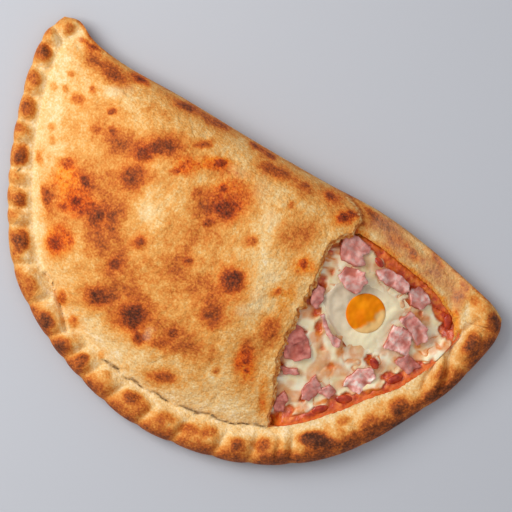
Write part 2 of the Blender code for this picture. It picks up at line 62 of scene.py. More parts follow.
eye = bpy.data.cameras.new("camera")
eye.sensor_width = SENSOR
eye.lens = SENSOR * CAMERA_HEIGHT / (PIXEL * PHOTO_SIDE)
camera = bpy.data.objects.new("camera", eye)
bpy.context.scene.collection.objects.link(camera)
camera.location = (PHOTO_CENTRE[0] * MM, PHOTO_CENTRE[1] * MM, CAMERA_HEIGHT * MM)
camera.rotation_euler = (0, 0, PHOTO_TURN)
bpy.context.scene.camera = camera
bpy.context.scene.view_settings.view_transform = "Standard"


def linear(colour):
    """A colour as seen on screen, from 0 to 255, as the renderer's linear light."""
    share = np.array(colour, float) / 255
    return (*np.where(share < 0.04045, share / 12.92, ((share + 0.055) / 1.055) ** 2.4), 1)


def new_paint(name, roughness):
    paint = bpy.data.materials.new(name)
    paint.use_nodes = True
    shader = paint.node_tree.nodes["Principled BSDF"]
    shader.inputs["Roughness"].default_value = roughness
    return paint, shader


def feed(paint, socket, value):
    """Gives a socket a constant, or a link from another node."""
    if isinstance(value, bpy.types.NodeSocket):
        paint.node_tree.links.new(value, socket)
    else:
        socket.default_value = value


def area_light(name, power, size, place, colour):
    lamp = bpy.data.lights.new(name, "AREA")
    lamp.energy = power
    lamp.size = size
    lamp.color = colour
    made = bpy.data.objects.new(name, lamp)
    bpy.context.scene.collection.objects.link(made)
    made.location = place
    made.rotation_euler = (-made.location).to_track_quat("-Z", "Y").to_euler()


area_light("window", power=10.3, size=0.7, place=(-0.75, -0.08, 0.8), colour=(1.0, 0.985, 0.96))
area_light("room", power=4.6, size=1.6, place=(0.0, 0.1, 1.6), colour=(1.0, 1.0, 1.0))

SKY_COLOUR = (0.93, 0.95, 1.0, 1)
SKY_STRENGTH = 0.42
TABLE_COLOUR = (186, 188, 194)
TABLE_ROUGHNESS = 0.8
TABLE_SIDE = 3.0
TABLE_BELOW = 0.0004

world = bpy.data.worlds.new("world")
world.use_nodes = True
sky = world.node_tree.nodes["Background"]
sky.inputs["Color"].default_value = SKY_COLOUR
sky.inputs["Strength"].default_value = SKY_STRENGTH
bpy.context.scene.world = world

bpy.ops.mesh.primitive_plane_add(size=TABLE_SIDE, location=(0, 0, -TABLE_BELOW))
floor_plane = bpy.context.object
floor_plane.name = "floor"
floor_paint, floor_shader = new_paint("table", TABLE_ROUGHNESS)
floor_shader.inputs["Base Color"].default_value = linear(TABLE_COLOUR)
floor_plane.data.materials.append(floor_paint)


# Crust
# One round of pizza dough folded over the filling and crimped along the belly. It
# has risen and blistered in a very hot oven, so that it is pale in its creases,
# golden over the dome and nearly black on some of the crimped lobes.

BELLY = (
    (-155.5, 83.5), (-159.5, 72), (-158.8, 60), (-152.3, 36), (-138.5, 2.5),
    (-120, -29.3), (-96.5, -57), (-65.6, -75.4), (-30.5, -87), (7, -92),
    (43, -87), (77, -75.3), (108, -54), (130, -26.3), (145.5, 6.7),
    (154.2, 28.8), (158.6, 53.7), (159.8, 70), (156, 79.5),
)
FOLD = (
    (156, 79.5), (148, 83), (135, 85.5), (98, 90.4), (62, 91.9), (25, 88.2),
    (-22, 85), (-70, 82.7), (-107, 79.7), (-131, 80.8), (-146, 86), (-155.5, 83.5),
)
RIM_WIDTHS = (
    (0, 13), (60, 13), (120, 15.5), (180, 17.5), (240, 19.5), (330, 21.5),
    (400, 24.5), (430, 23), (450, 18.3), (500, 18.3), (515, 20), (528, 22),
)
SEAM_HEIGHTS = ((0, 11), (140, 11.3), (350, 11.8), (385, 14), (528, 13.5))
PINCHES = (
    -6, 8, 20, 35, 53, 68, 82, 97, 107, 120, 131, 155, 180, 203, 218, 233, 252,
    276, 299, 324, 346, 371, 415, 457, 489, 518, 545,
)
PINCH_DEPTHS = ((0, 5.0), (340, 5.5), (371, 5.0), (400, 2.0), (528, 2.6))
PINCH_NOTCH = 0.16
PINCH_SHARP = 0.5
PINCH_OUTSIDE = 0.45
PINCH_REACH = 3.0
LOBE_VARIES = 1.4
PINCH_SLANT = ((0, 2), (250, 4), (330, 7), (400, 2), (528, 0))
CREST_BASE = 9.0
CREST_PER_WIDTH = 0.45
CREST_PLACE = 0.45
CREST_LINE = ((-160, 44), (-60, 46.5), (20, 46), (55, 42), (100, 37), (160, 30))
HIGHEST = 46.5
BELLY_SPAN = 95.0
FOLD_SPAN = 45.0
BELLY_EQUATOR = 6.5
FOLD_EQUATOR = 10.5
BELLY_UNDERCUT = 8.0
FOLD_UNDERCUT = 10.0
SWELL = 1.1
SWELL_SIZE = 42.0
SWELL_FROM_RIM = 30.0
SWELL_FROM_FOLD = 25.0
SHEET = 4.5
FLOOR = 4.0
POCKET_BASE = ((0, 5.8), (350, 7), (385, 12.5), (450, 12.3), (475, 10.4), (528, 9.5))
POCKET_RIM_INSET = 0.4
POCKET_FOLD_INSET = 5.5
POCKET_START = -130.0
TEAR = (
    (55.2, 72.4), (53.8, 70), (48.4, 61.4), (48.8, 49.2), (51.4, 43.1), (53.2, 30.2),
    (55.9, 9.3), (56.4, 3.3), (59.6, -10.9), (64.5, -22.4), (70, -31.5), (74.1, -42.9),
    (77.4, -48.8),
)
OPENING_RIM_START = 358.0
OPENING_FOLD_INSETS = ((110, 17.5), (120, 18.0), (134, 21.5), (142, 27.5), (150, 33))
OPENING_CENTRE = (100.0, 18.0)

# Broad browning over the dome: place, half width, half height, turn, strength
BROWNED = (
    (115, 75, 24, 11, 30, 0.40), (142, 79, 11, 5, 35, 0.35), (93, 60, 10, 6, 30, 0.3),
    (105, 110, 24, 14, 0, 0.16), (118, 141, 24, 12, 10, 0.28), (150, 148, 34, 14, -5, 0.46),
    (132, 178, 18, 14, 0, 0.3), (104, 172, 17, 16, 0, 0.22), (80, 175, 18, 22, 0, 0.22),
    (85, 205, 22, 20, 0, 0.3), (112, 214, 22, 24, 0, 0.36), (95, 245, 22, 22, 0, 0.28),
    (120, 265, 24, 18, 0, 0.36), (100, 295, 18, 14, 0, 0.4), (135, 312, 28, 20, 15, 0.46),
    (172, 335, 24, 12, 10, 0.36), (60, 240, 10, 16, 0, 0.4), (50, 200, 8, 18, 0, 0.38),
    (180, 172, 30, 14, 0, 0.26), (205, 205, 16, 20, 0, 0.32), (232, 203, 20, 24, 0, 0.46),
    (190, 238, 30, 22, 0, 0.22), (170, 268, 30, 20, 0, 0.22), (195, 285, 24, 22, 0, 0.26),
    (232, 282, 24, 22, 0, 0.22), (212, 315, 18, 20, 0, 0.24), (190, 350, 25, 12, 0, 0.24),
    (304, 222, 26, 16, 20, 0.1), (225, 352, 16, 10, 0, -0.14), (462, 305, 14, 9, 45, 0.24),
    (246, 358, 13, 22, 0, 0.38), (215, 355, 16, 10, 0, 0.2), (272, 335, 16, 18, 40, 0.3),
    (292, 240, 20, 14, -30, 0.3), (250, 240, 10, 8, 0, 0.1), (190, 108, 22, 8, 28, 0.36),
    (215, 122, 16, 6, 32, 0.32), (275, 170, 19, 9, 32, 0.4), (262, 148, 14, 5, 34, 0.4),
    (304, 188, 16, 9, 35, 0.34), (335, 203, 18, 10, 35, 0.36), (347, 219, 8, 8, 0, 0.3),
    (155, 110, 20, 10, 20, 0.14), (161, 377, 17, 9, 15, 0.36), (210, 398, 12, 8, 0, 0.1),
    (262, 405, 5, 13, 0, 0.22), (70, 130, 8, 14, 0, 0.14), (222, 168, 14, 8, 20, 0.2),
    (385, 222, 30, 12, 38, 0.34), (430, 268, 26, 9, 42, 0.24), (465, 300, 22, 9, 45, 0.28),
    (400, 250, 40, 8, 40, 0.16), (147, 214, 16, 11, 0, -0.14), (265, 250, 12, 40, 10, -0.1),
    (200, 403, 60, 12, 15, -0.12), (100, 342, 34, 9, 38, -0.12), (58, 100, 12, 50, 12, -0.12),
    (205, 178, 36, 8, 20, -0.14), (120, 94, 14, 8, 20, -0.1), (38, 230, 8, 40, 0, -0.1),
    (250, 330, 12, 14, 0, -0.08), (240, 262, 14, 20, 0, -0.08), (135, 255, 12, 9, 0, -0.1),
)
# Small dark blisters and scorches: place, half width, half height, turn, strength, puff
SCORCHED = (
    (94, 90, 4, 4, 0, 0.4, 0.3), (77, 99, 8, 7, 0, 0.4, 0.5), (112, 111, 5, 4, 0, 0.55, 0.5),
    (96, 129, 6, 5, 0, 0.3, 0.3), (113, 131, 5, 4, 0, 0.35, 0.5), (143, 154, 9, 8, 0, 0.62, 0.8),
    (165, 147, 18, 8, 0, 0.42, 0.4), (204, 144, 10, 5, 0, 0.5, 0.6), (220, 162, 7, 5, 0, 0.6, 1.0),
    (189, 165, 10, 6, 0, 0.2, 0.2), (134, 178, 13, 12, 0, 0.42, 0.5), (67, 163, 7, 6, 0, 0.5, 0.5),
    (86, 182, 6, 6, 0, 0.62, 0.6), (77, 201, 5, 5, 0, 0.68, 0.7), (64, 206, 5, 4, 0, 0.5, 0.4),
    (98, 216, 9, 9, 0, 0.58, 0.5), (45, 196, 6, 14, 0, 0.45, 0.4), (223, 188, 5, 5, 0, 0.5, 0.5),
    (227, 210, 11, 10, 0, 0.56, 0.5), (208, 223, 5, 5, 0, 0.55, 0.5), (198, 193, 6, 5, 0, 0.4, 0.3),
    (140, 243, 7, 7, 0, 0.55, 1.3), (55, 243, 10, 9, 0, 0.45, 0.4), (71, 241, 3, 4, 0, 0.4, 0.2),
    (115, 265, 6, 6, 0, 0.6, 0.5), (189, 260, 5, 5, 0, 0.55, 1.0), (97, 297, 9, 8, 0, 0.52, 0.4),
    (132, 318, 13, 14, 10, 0.68, 0.6), (139, 338, 8, 6, 30, 0.5, 0.3), (158, 344, 9, 6, 10, 0.45, 0.3),
    (172, 333, 5, 5, 0, 0.5, 0.4), (211, 317, 12, 15, 0, 0.42, 0.4), (164, 378, 13, 6, 15, 0.3, 0.3),
    (216, 370, 4, 4, 0, 0.3, 0.3), (246, 361, 5, 5, 0, 0.42, 0.4), (246, 371, 3.5, 3.5, 0, 0.55, 0.3),
    (275, 171, 14, 6, 30, 0.4, 0.3), (304, 187, 10, 5, 35, 0.34, 0.3), (330, 195, 6, 5, 0, 0.6, 0.5),
    (342, 218, 6, 5, 0, 0.7, 0.7), (351, 213, 5, 2.5, 30, 0.6, 0.3), (357, 215, 4, 2.5, 40, 0.5, 0.2),
    (291, 205, 4, 4, 0, 0.35, 0.4), (252, 241, 5, 5, 0, 0.42, 0.7), (233, 281, 13, 13, 0, 0.78, 1.6),
    (303, 264, 5, 5, 0, 0.5, 0.6), (278, 292, 5, 4, 0, 0.35, 0.5), (268, 325, 7, 10, 20, 0.24, 0.2),
    (196, 106, 8, 3, 30, 0.45, 0.2), (214, 116, 6, 3, 30, 0.5, 0.2), (224, 126, 6, 3, 32, 0.55, 0.2),
    (256, 145, 9, 3.5, 32, 0.6, 0.4), (270, 155, 7, 3.5, 34, 0.5, 0.3), (184, 106, 13, 4, 28, 0.34, 0.2),
    (95, 48, 9, 4, 25, 0.6, 0.5), (84, 42, 7, 3, 20, 0.4, 0.2), (113, 73, 11, 7, 30, 0.32, 0.4),
    (142, 79, 8, 3.5, 35, 0.45, 0.3), (138, 77, 4, 2.5, 35, 0.4, 0.2), (176, 171, 3.5, 3, 0, 0.5, 0.3),
    (54, 87, 3.5, 4, 0, 0.2, 0.8), (65, 90, 3.5, 4, 0, 0.3, 0.8), (72, 73, 5, 4, 0, 0.28, 1.0),
    (52, 127, 5, 6, 0, 0.3, 0.8), (52, 141, 4, 5, 0, 0.2, 0.8), (40, 157, 4, 9, 0, 0.3, 0.5),
    (62, 297, 6, 9, -15, 0.55, 1.2), (74, 322, 6, 8, -20, 0.42, 1.2), (101, 355, 4, 4, 0, 0.3, 0.5),
    (386, 246, 3, 3, 0, 0.1, 0.2), (413, 250, 8, 3, 45, 0.4, 0.3), (436, 259, 8, 3, 45, 0.5, 0.3),
    (464, 286, 4, 7, -30, 0.4, 0.4), (474, 301, 6, 8, -40, 0.34, 0.4), (391, 241, 6, 3, 40, 0.2, 0.2),
    (457, 300, 4, 6, -30, 0.15, 0.2), (372, 214, 9, 4, 40, 0.3, 0.2), (366, 226, 5, 3, 40, 0.25, 0.2),
)
# Lobes of the crimped rim, as above
RIM_SCORCHED = (
    (70, 29, 7, 6, 0, 0.4, 0.3), (44, 52, 8, 9, 0, 0.66, 0.6), (44, 52, 3.5, 4, 0, 0.5, 0),
    (36, 79, 6, 7, 0, 0.4, 0.2), (29, 108, 8, 12, 0, 0.5, 0.6), (20, 128, 6, 5, 0, 0.3, 0.2),
    (21, 155, 8, 11, 0, 0.62, 0.5), (20, 199, 8, 9, 0, 0.5, 0.5), (21, 241, 9, 14, 5, 0.62, 0.8),
    (24, 240, 5, 8, 5, 0.3, 0), (31, 285, 6, 9, -15, 0.34, 0.3), (46, 320, 8, 10, -20, 0.66, 0.6),
    (48, 321, 4, 5, -20, 0.4, 0), (63, 345, 9, 8, 40, 0.48, 0.4), (82, 360, 6, 7, 0, 0.66, 0.6),
    (107, 373, 4, 4, 0, 0.34, 0.3), (131, 397, 10, 7, 30, 0.62, 0.6), (139, 396, 4, 4, 0, 0.4, 0),
    (143, 408, 8, 6, 20, 0.4, 0.2), (164, 418, 10, 6, 20, 0.4, 0.4), (189, 429, 11, 6, 10, 0.5, 0.4),
    (209, 431, 9, 7, 0, 0.42, 0.4), (238, 445, 9, 7, 0, 0.6, 0.6), (262, 444, 10, 8, 0, 0.55, 0.4),
    (315, 439, 17, 9, 5, 0.88, 1.6), (322, 444, 16, 8, 0, 0.66, 0), (344, 420, 7, 5, 0, 0.42, 0.5),
    (370, 424, 12, 8, -20, 0.34, 0.8), (398, 406, 13, 9, -35, 0.6, 1.4), (441, 371, 5, 12, 15, 0.42, 0),
    (443, 358, 4, 6, 10, 0.3, 0), (471, 344, 9, 13, 28, 0.7, 0), (494, 324, 8, 10, 0, 0.4, 0.6),
    (284, 455, 14, 6, 0, 0.3, 0.4), (356, 438, 24, 6, -20, 0.4, 0.3), (430, 395, 20, 6, -40, 0.4, 0.3),
    (300, 458, 30, 5, -5, 0.3, 0), (400, 425, 24, 5, -32, 0.3, 0), (455, 385, 16, 6, -50, 0.34, 0),
)
# Glow of orange oil that has soaked through the dough
OILY = (
    (66, 178, 14, 16, 0, 0.9), (77, 201, 17, 15, 0, 0.9), (216, 163, 18, 7, 0, 0.9),
    (178, 171, 7, 4, 0, 0.5), (186, 165, 14, 9, 0, 0.8), (246, 364, 11, 18, 0, 0.95),
    (303, 265, 11, 9, 0, 0.85), (343, 219, 12, 8, 0, 0.6), (335, 197, 12, 7, 30, 0.4),
    (277, 292, 8, 7, 0, 0.5), (58, 240, 14, 16, 0, 0.8), (142, 80, 10, 5, 30, 0.5),
    (230, 197, 22, 22, 0, 0.6), (264, 395, 5, 22, 0, 0.6), (287, 300, 7, 18, 30, 0.7),
    (315, 270, 5, 6, 0, 0.4), (400, 241, 14, 4, 42, 0.35), (270, 330, 12, 14, 0, 0.25),
    (363, 235, 10, 4, 35, 0.9), (424, 283, 18, 5, 45, 0.9), (455, 316, 4, 8, -20, 0.8),
    (392, 252, 14, 3, 38, 0.5), (414, 258, 6, 4, 40, 0.5), (443, 300, 6, 4, 40, 0.6),
)
# Dusting of flour and unbrowned skin
FLOURY = (
    (114, 92, 9, 6, 20, 0.6), (271, 277, 8, 6, 0, 0.5), (271, 219, 8, 10, 0, 0.35),
    (147, 214, 9, 8, 0, 0.3), (147, 336, 5, 5, 0, 0.4), (244, 311, 8, 6, 0, 0.4),
    (128, 90, 8, 5, 0, 0.25), (150, 330, 5, 4, 0, 0.3), (78, 35, 5, 8, 0, 0.3),
    (258, 300, 8, 14, 0, 0.35), (262, 190, 8, 16, 0, 0.2), (240, 172, 12, 6, 30, 0.2),
)
# The open seam under the dome's skin, and its half width and depth
CRACK = (
    (104, 359), (111, 363), (126, 378), (137, 383), (148, 389), (161, 396), (174, 403),
    (189, 410), (209, 415), (219, 418), (236, 423), (251, 425), (266, 427),
)
CRACK_WIDTH = 0.95
CRACK_DEPTH = 1.5
CRACK_HEIGHT = 11.0
CREASE_HEIGHT = 18.0
# Other creases of the rim: half width, depth, places
CREASES = (
    (2.0, 3.6, ((450, 346), (449, 362), (446, 376), (440, 392))),
    (1.9, 3.0, ((434, 358), (430, 372), (423, 388))),
    (2.0, 2.2, ((456, 343), (462, 334), (470, 328), (478, 322))),
    (1.6, 2.0, ((272, 430), (280, 436), (279, 446), (276, 458))),
    (0.9, 2.8, ((44, 274), (52, 283), (56, 296), (60, 308), (63, 320), (65, 331))),
)
# Lumps of the rim beside the opening: place, half width, half height, turn, height
LUMPS = ((470, 345, 10, 16, 31, 3.2), (439, 372, 6.5, 17, 15, 3.0))
# Valley between the rim and the dome
GROOVE_WIDTH = 3.2
GROOVE_DEPTH = 0.9
GROOVE_FROM_FOLD = 14.0
GROOVE_END = 340.0
GROOVE_FADES = 20.0
# Edge of the torn top layer where it lies over the lower one, by the fold
FLAP = ((352, 236), (354, 229), (361, 222), (361.5, 217), (358, 209), (351, 200), (342, 189))
FLAP_HEIGHT = 36.0
FLAP_PLACE = 62.0
FLAP_LENGTH = 22.0
FLAP_STEP = 3.4
FLAP_EASE = 14.0
STRIP_DROP = 3.2
STRIP_LEAST = 1.0
RIM_TO_FOLD = 10.0
RELIEF_FROM_BELLY = 6.0
RELIEF_FROM_FOLD = 10.0
# Relief of the dough: height, wave size, seed
RELIEF = ((0.6, 11, 7.7), (0.34, 4.5, 1.3), (0.16, 2.2, 2.4))


LINE_CUTS = 20
LINE_STEP = 2.0
FLAP_CUT = 0.7
FAR = 1e3


def smooth_line(points, step):
    """A Catmull-Rom line through the points, cut at even steps along it."""
    p = np.array(points, float)
    p = np.vstack([2 * p[0] - p[1], p, 2 * p[-1] - p[-2]])
    t = np.linspace(0, 1, LINE_CUTS, endpoint=False)[:, None]
    rows = []
    for a, b, c, d in zip(p, p[1:], p[2:], p[3:]):
        cubic = 2 * b + (c - a) * t + (2 * a - 5 * b + 4 * c - d) * t**2
        rows.append(0.5 * (cubic + (3 * b - a - 3 * c + d) * t**3))
    return even(np.vstack([*rows, p[-2:-1]]), step)


def way_along(line):
    """Way along a line to each of its points."""
    return np.r_[0, np.cumsum(np.linalg.norm(np.diff(line, axis=0), axis=1))]


def points_at(line, way, at):
    """Points of a line at places along it."""
    return np.c_[np.interp(at, way, line[:, 0]), np.interp(at, way, line[:, 1])]


def even(line, step):
    way = way_along(line)
    return points_at(line, way, np.linspace(0, way[-1], round(way[-1] / step) + 1))


def inset(line, by):
    """A line moved to its left, by a distance at each of its points."""
    along = np.gradient(line, axis=0)
    along /= np.linalg.norm(along, axis=1)[:, None]
    return line + np.c_[-along[:, 1], along[:, 0]] * by[:, None]


def nearest(points, line):
    """Distance from each point to an open line, and the way along it to there."""
    tree = kdtree.KDTree(len(line))
    for k, (x, y) in enumerate(line):
        tree.insert((x, y, 0), k)
    tree.balance()
    closest = np.array([tree.find((x, y, 0))[1] for x, y in points.tolist()])
    start, along = line[:-1], np.diff(line, axis=0)
    length = np.linalg.norm(along, axis=1)
    run = np.r_[0, np.cumsum(length)]
    found = []
    for k in (np.maximum(closest - 1, 0), np.minimum(closest, len(along) - 1)):
        offset = points - start[k]
        share = np.clip((offset * along[k]).sum(1) / length[k] ** 2, 0, 1)
        away = np.linalg.norm(offset - share[:, None] * along[k], axis=1)
        found.append((away, run[k] + share * length[k]))
    (before, way_before), (after, way_after) = found
    return np.minimum(before, after), np.where(before < after, way_before, way_after)


def table(pairs, at):
    places, values = zip(*pairs)
    return np.interp(at, places, values)


def round_over(q):
    """Quarter circle: rises steeply from 0 and levels out at 1."""
    return np.sqrt(np.clip(1 - (1 - np.clip(q, 0, 1)) ** 2, 0, 1))


def ease(q):
    q = np.clip(q, 0, 1)
    return q * q * (3 - 2 * q)


NET = 256
WAVE_HEIGHT = 1.5


def waves(points, size, seed):
    """Soft noise from about -1 to 1 at points, with waves of that size."""
    turns = np.random.default_rng(round(seed * 10)).uniform(0, math.tau, (NET, NET))
    cell = np.floor(points / size).astype(int)
    part = points / size - cell
    mixed = np.zeros(len(points))
    for corner in ((0, 0), (1, 0), (0, 1), (1, 1)):
        i, j = ((cell + corner) % NET).T
        dx, dy = (part - corner).T
        slope = np.cos(turns[i, j]) * dx + np.sin(turns[i, j]) * dy
        mixed += slope * ease(1 - np.abs(dx)) * ease(1 - np.abs(dy))
    return WAVE_HEIGHT * mixed


def noise(points, *layers):
    """Soft noise in layers, each with its height, wave size and seed."""
    return sum(height * waves(points, size, seed) for height, size, seed in layers)


def shift(points, size, *seeds):
    """Soft noise in two directions, so that a line or a mark wanders."""
    return np.stack([waves(points, size, seed) for seed in seeds], 1)


BELLY_LINE = smooth_line(BELLY, LINE_STEP)
FOLD_LINE = smooth_line(FOLD, LINE_STEP)
PLACED = {}


def place(points):
    """Distances of points to the belly and the fold, and the way along the belly."""
    key = points.tobytes()
    if key not in PLACED:
        to_belly, along = nearest(points, BELLY_LINE)
        to_fold, _ = nearest(points, FOLD_LINE)
        PLACED[key] = (to_belly, to_fold, along)
    return PLACED[key]


def to_photo(points, heights):
    """Pixels of the photo where points of the object are seen."""
    near = CAMERA_HEIGHT / (CAMERA_HEIGHT - heights) / PIXEL
    x, y = (points - np.array(PHOTO_CENTRE)).T
    c, s = math.cos(PHOTO_TURN), math.sin(PHOTO_TURN)
    right, up = (x * c + y * s) * near, (-x * s + y * c) * near
    return np.c_[PHOTO_SIDE / 2 + right, PHOTO_SIDE / 2 - up]


def from_photo(pixels, height):
    """Points at a height that are seen at pixels of the photo."""
    away = PIXEL * (CAMERA_HEIGHT - height) / CAMERA_HEIGHT
    right, down = ((np.array(pixels, float) - PHOTO_SIDE / 2) * away).T
    c, s = math.cos(PHOTO_TURN), math.sin(PHOTO_TURN)
    return np.c_[PHOTO_CENTRE[0] + right * c + down * s, PHOTO_CENTRE[1] + right * s - down * c]


def from_oval(pixels, x, y, wide, tall, turn):
    """Distance from an oval's middle, 1 on the oval."""
    c, s = math.cos(math.radians(turn)), math.sin(math.radians(turn))
    dx, dy = pixels[:, 0] - x, pixels[:, 1] - y
    return np.hypot((dx * c + dy * s) / wide, (dy * c - dx * s) / tall)


def blots(pixels, marks, core=0.4, reach=1.4):
    """Soft oval marks laid over one another."""
    left = np.ones(len(pixels))
    for x, y, wide, tall, turn, amount, *_ in marks:
        away = from_oval(pixels, x, y, wide, tall, turn)
        left *= 1 - amount * (1 - ease((away - core) / (reach - core)))
    return 1 - left


def equator(to_belly):
    return BELLY_EQUATOR + (FOLD_EQUATOR - BELLY_EQUATOR) * ease(to_belly / 15)


def pinched(to_belly, along, width):
    """How deep the rim is pinched: 0 on a crimped lobe, 1 in a crease."""
    slanted = along - table(PINCH_SLANT, along) * np.clip(to_belly / width, 0, 1)
    k = np.clip(np.searchsorted(PINCHES, slanted) - 1, 0, len(PINCHES) - 2)
    low = np.array(PINCHES, float)[k]
    high = np.array(PINCHES, float)[k + 1]
    share = np.clip((slanted - low) / (high - low), 0, 1)
    crease = np.exp(-((np.minimum(slanted - low, high - slanted) / PINCH_REACH) ** 2))
    return PINCH_SHARP * crease + (1 - PINCH_SHARP) * (1 - 4 * share * (1 - share))


def dome(points, rim_inset, fold_inset, base, crest):
    to_belly, to_fold, _ = place(points)
    rise = np.clip((to_belly - rim_inset) / BELLY_SPAN, 0, 1)
    return base + (crest - base) * rise * (2 - rise) * round_over((to_fold - fold_inset) / FOLD_SPAN)


def past_tear(points):
    tear_x, tear_y = np.array(TEAR)[::-1].T
    return points[:, 0] - np.interp(points[:, 1], tear_y, tear_x)


def roof(points):
    """Inside of the dough sheet over the filling."""
    _, _, along = place(points)
    crest = table(CREST_LINE, points[:, 0]) - SHEET
    inset = table(RIM_WIDTHS, along) + POCKET_RIM_INSET
    return dome(points, inset, POCKET_FOLD_INSET, table(POCKET_BASE, along), crest)


def fold_inset(points):
    """How far the opening lies inside the fold."""
    return table(OPENING_FOLD_INSETS, points[:, 0])


CRACK_LINE = even(from_photo(CRACK, CRACK_HEIGHT), 1.0)
FLAP_LINE = even(from_photo(FLAP, FLAP_HEIGHT), FLAP_CUT)
CREASE_LINES = [
    (wide, deep, even(from_photo(spots, CREASE_HEIGHT), 1.0)) for wide, deep, spots in CREASES
]


def beyond_flap(points):
    """Distance to the torn top layer's edge by the fold, below 0 on that layer."""
    away, way = nearest(points, FLAP_LINE)
    k = np.clip((way / FLAP_CUT).astype(int), 0, len(FLAP_LINE) - 2)
    step = FLAP_LINE[k + 1] - FLAP_LINE[k]
    offset = points - FLAP_LINE[k]
    side = np.sign(step[:, 1] * offset[:, 0] - step[:, 0] * offset[:, 1])
    return away * side


def lowered(points, to_belly, to_fold, width):
    """How much lower the fold's inner layer lies, where the top layer is torn off."""
    beyond = beyond_flap(points) + 0.5 * waves(points, 2.2, 5.5)
    strip = ease(beyond) * ease((to_belly - width) / FLAP_EASE) * ease(to_fold / 4)
    inwards = np.clip(to_fold / fold_inset(points), 0, 1.2)
    return strip * (FLAP_STEP + STRIP_DROP * inwards**1.6)


def cracked(points):
    """How far the seam gapes: 1 in the middle of the crack, 0 beside it."""
    wander = 1.5 * shift(points, 8.0, 3.8, 4.8) + 0.6 * shift(points, 2.6, 3.2, 4.2)
    crack, way = nearest(points + wander, CRACK_LINE)
    gape = np.clip(1.0 + 1.3 * waves(np.c_[way, 0 * way + 0.5], 9.0, 5.3), 0.25, 1.4)
    return (1 - ease(crack / (CRACK_WIDTH * gape))) * np.minimum(gape, 1)


def crust_top(points):
    """Height of the outside of the dough, with its blisters and its open seam."""
    to_belly, to_fold, along = place(points)
    width = table(RIM_WIDTHS, along)
    seam = table(SEAM_HEIGHTS, along)
    waist = equator(to_belly)
    crest = CREST_BASE + CREST_PER_WIDTH * width
    inwards = PINCH_OUTSIDE + (1 - PINCH_OUTSIDE) * ease(to_belly / (CREST_PLACE * width))
    crest = crest - inwards * table(PINCH_DEPTHS, along) * pinched(to_belly, along, width)
    crest = crest + LOBE_VARIES * waves(np.c_[along, to_belly / 3], 21.0, 2.7)
    crest_at = CREST_PLACE * width
    outer = waist + (crest - waist) * round_over(to_belly / crest_at)
    down = 0.5 + 0.5 * np.cos(np.pi * np.clip((to_belly - crest_at) / (width - crest_at), 0, 1))
    inner = seam + (crest - seam) * down
    rim = np.where(to_belly < crest_at, outer, inner)
    rim = waist + (rim - waist) * round_over(to_fold / RIM_TO_FOLD)
    over = dome(points, width, 0, 0, table(CREST_LINE, points[:, 0]) - seam)
    swell = waves(points, SWELL_SIZE, 3.1) * ease((to_belly - width) / SWELL_FROM_RIM)
    z = rim + over + SWELL * swell * ease(to_fold / SWELL_FROM_FOLD)
    away = ease(np.minimum(to_belly / RELIEF_FROM_BELLY, to_fold / RELIEF_FROM_FOLD))
    z = z + away * noise(points, *RELIEF)
    pixels = to_photo(points, z) + 1.2 * shift(points, 6, 2.2, 8.1)
    puffs = [(x, y, w, h, turn, puff / 2) for x, y, w, h, turn, _, puff in SCORCHED + RIM_SCORCHED]
    z = z + 2 * away * blots(pixels, puffs, 0.1, 1.1)
    for *oval, height in LUMPS:
        lump = np.sqrt(np.clip(1 - from_oval(pixels, *oval) ** 2, 0, 1))
        z = z + height * lump * away
    groove = np.exp(-(((to_belly - width) / GROOVE_WIDTH) ** 2)) * ease(to_fold / GROOVE_FROM_FOLD)
    groove = groove * (1 - ease((along - GROOVE_END) / GROOVE_FADES))
    z = z - GROOVE_DEPTH * groove
    strip = lowered(points, to_belly, to_fold, width)
    z = np.maximum(z - strip, np.minimum(z, roof(points) + STRIP_LEAST))
    for wide, deep, line in CREASE_LINES:
        z = z - deep * np.exp(-((nearest(points, line)[0] / wide) ** 2)) * away
    z = z - CRACK_DEPTH * cracked(points) * away
    return np.minimum(z, HIGHEST)


def underside(points):
    to_belly, to_fold, _ = place(points)
    inwards = np.minimum(to_belly / BELLY_UNDERCUT, to_fold / FOLD_UNDERCUT)
    return equator(to_belly) * (1 - round_over(inwards))


def vertices(body):
    flat = np.empty(len(body.data.vertices) * 3)
    body.data.vertices.foreach_get("co", flat)
    return flat.reshape(-1, 3) / MM


def move_vertices(body, points):
    body.data.vertices.foreach_set("co", (points * MM).ravel())
    body.data.update()


def ball_net(name, rows, columns):
    """A closed round mesh, and the row and the column of each of its vertices."""
    bpy.ops.mesh.primitive_uv_sphere_add(segments=columns, ring_count=rows - 1)
    body = bpy.context.object
    body.name = name
    x, y, z = (vertices(body) * MM).T
    row = np.rint(np.arccos(np.clip(z, -1, 1)) / math.pi * (rows - 1)).astype(int)
    column = np.rint(np.arctan2(y, x) / math.tau * columns).astype(int) % columns
    return body, row, column


def loaf(name, plan, top_columns, top, under):
    """A closed body laid out in slices, across its top and back underneath."""
    body, row, column = ball_net(name, *plan.shape[:2])
    flat = plan[row, column]
    upper = column <= top_columns
    heights = np.empty(len(flat))
    heights[upper] = top(flat[upper])
    heights[~upper] = under(flat[~upper])
    move_vertices(body, np.c_[flat, heights])
    return body


WITHIN = 0.9996


def ends(shares):
    """Points of the belly and of the fold, joined by slices across the dough."""
    sides = []
    for line in (smooth_line(BELLY, 0.5), smooth_line(FOLD, 0.5)[::-1]):
        at = shares * (len(line) - 1)
        sides.append(points_at(line * WITHIN, np.arange(len(line)), at))
    return sides


RIM_REACH = 25.0
LOBE_REACH = 9.0
FOLD_REACH = 14.0
LEAST_LENGTH = 60.0
CRUST_ROWS = 501
LOBE_COLUMNS = 11
RIM_COLUMNS = 19
MIDDLE_COLUMNS = 105
EDGE_COLUMNS = 16
UNDER_COLUMNS = 6
FOOT_COLUMNS = 8


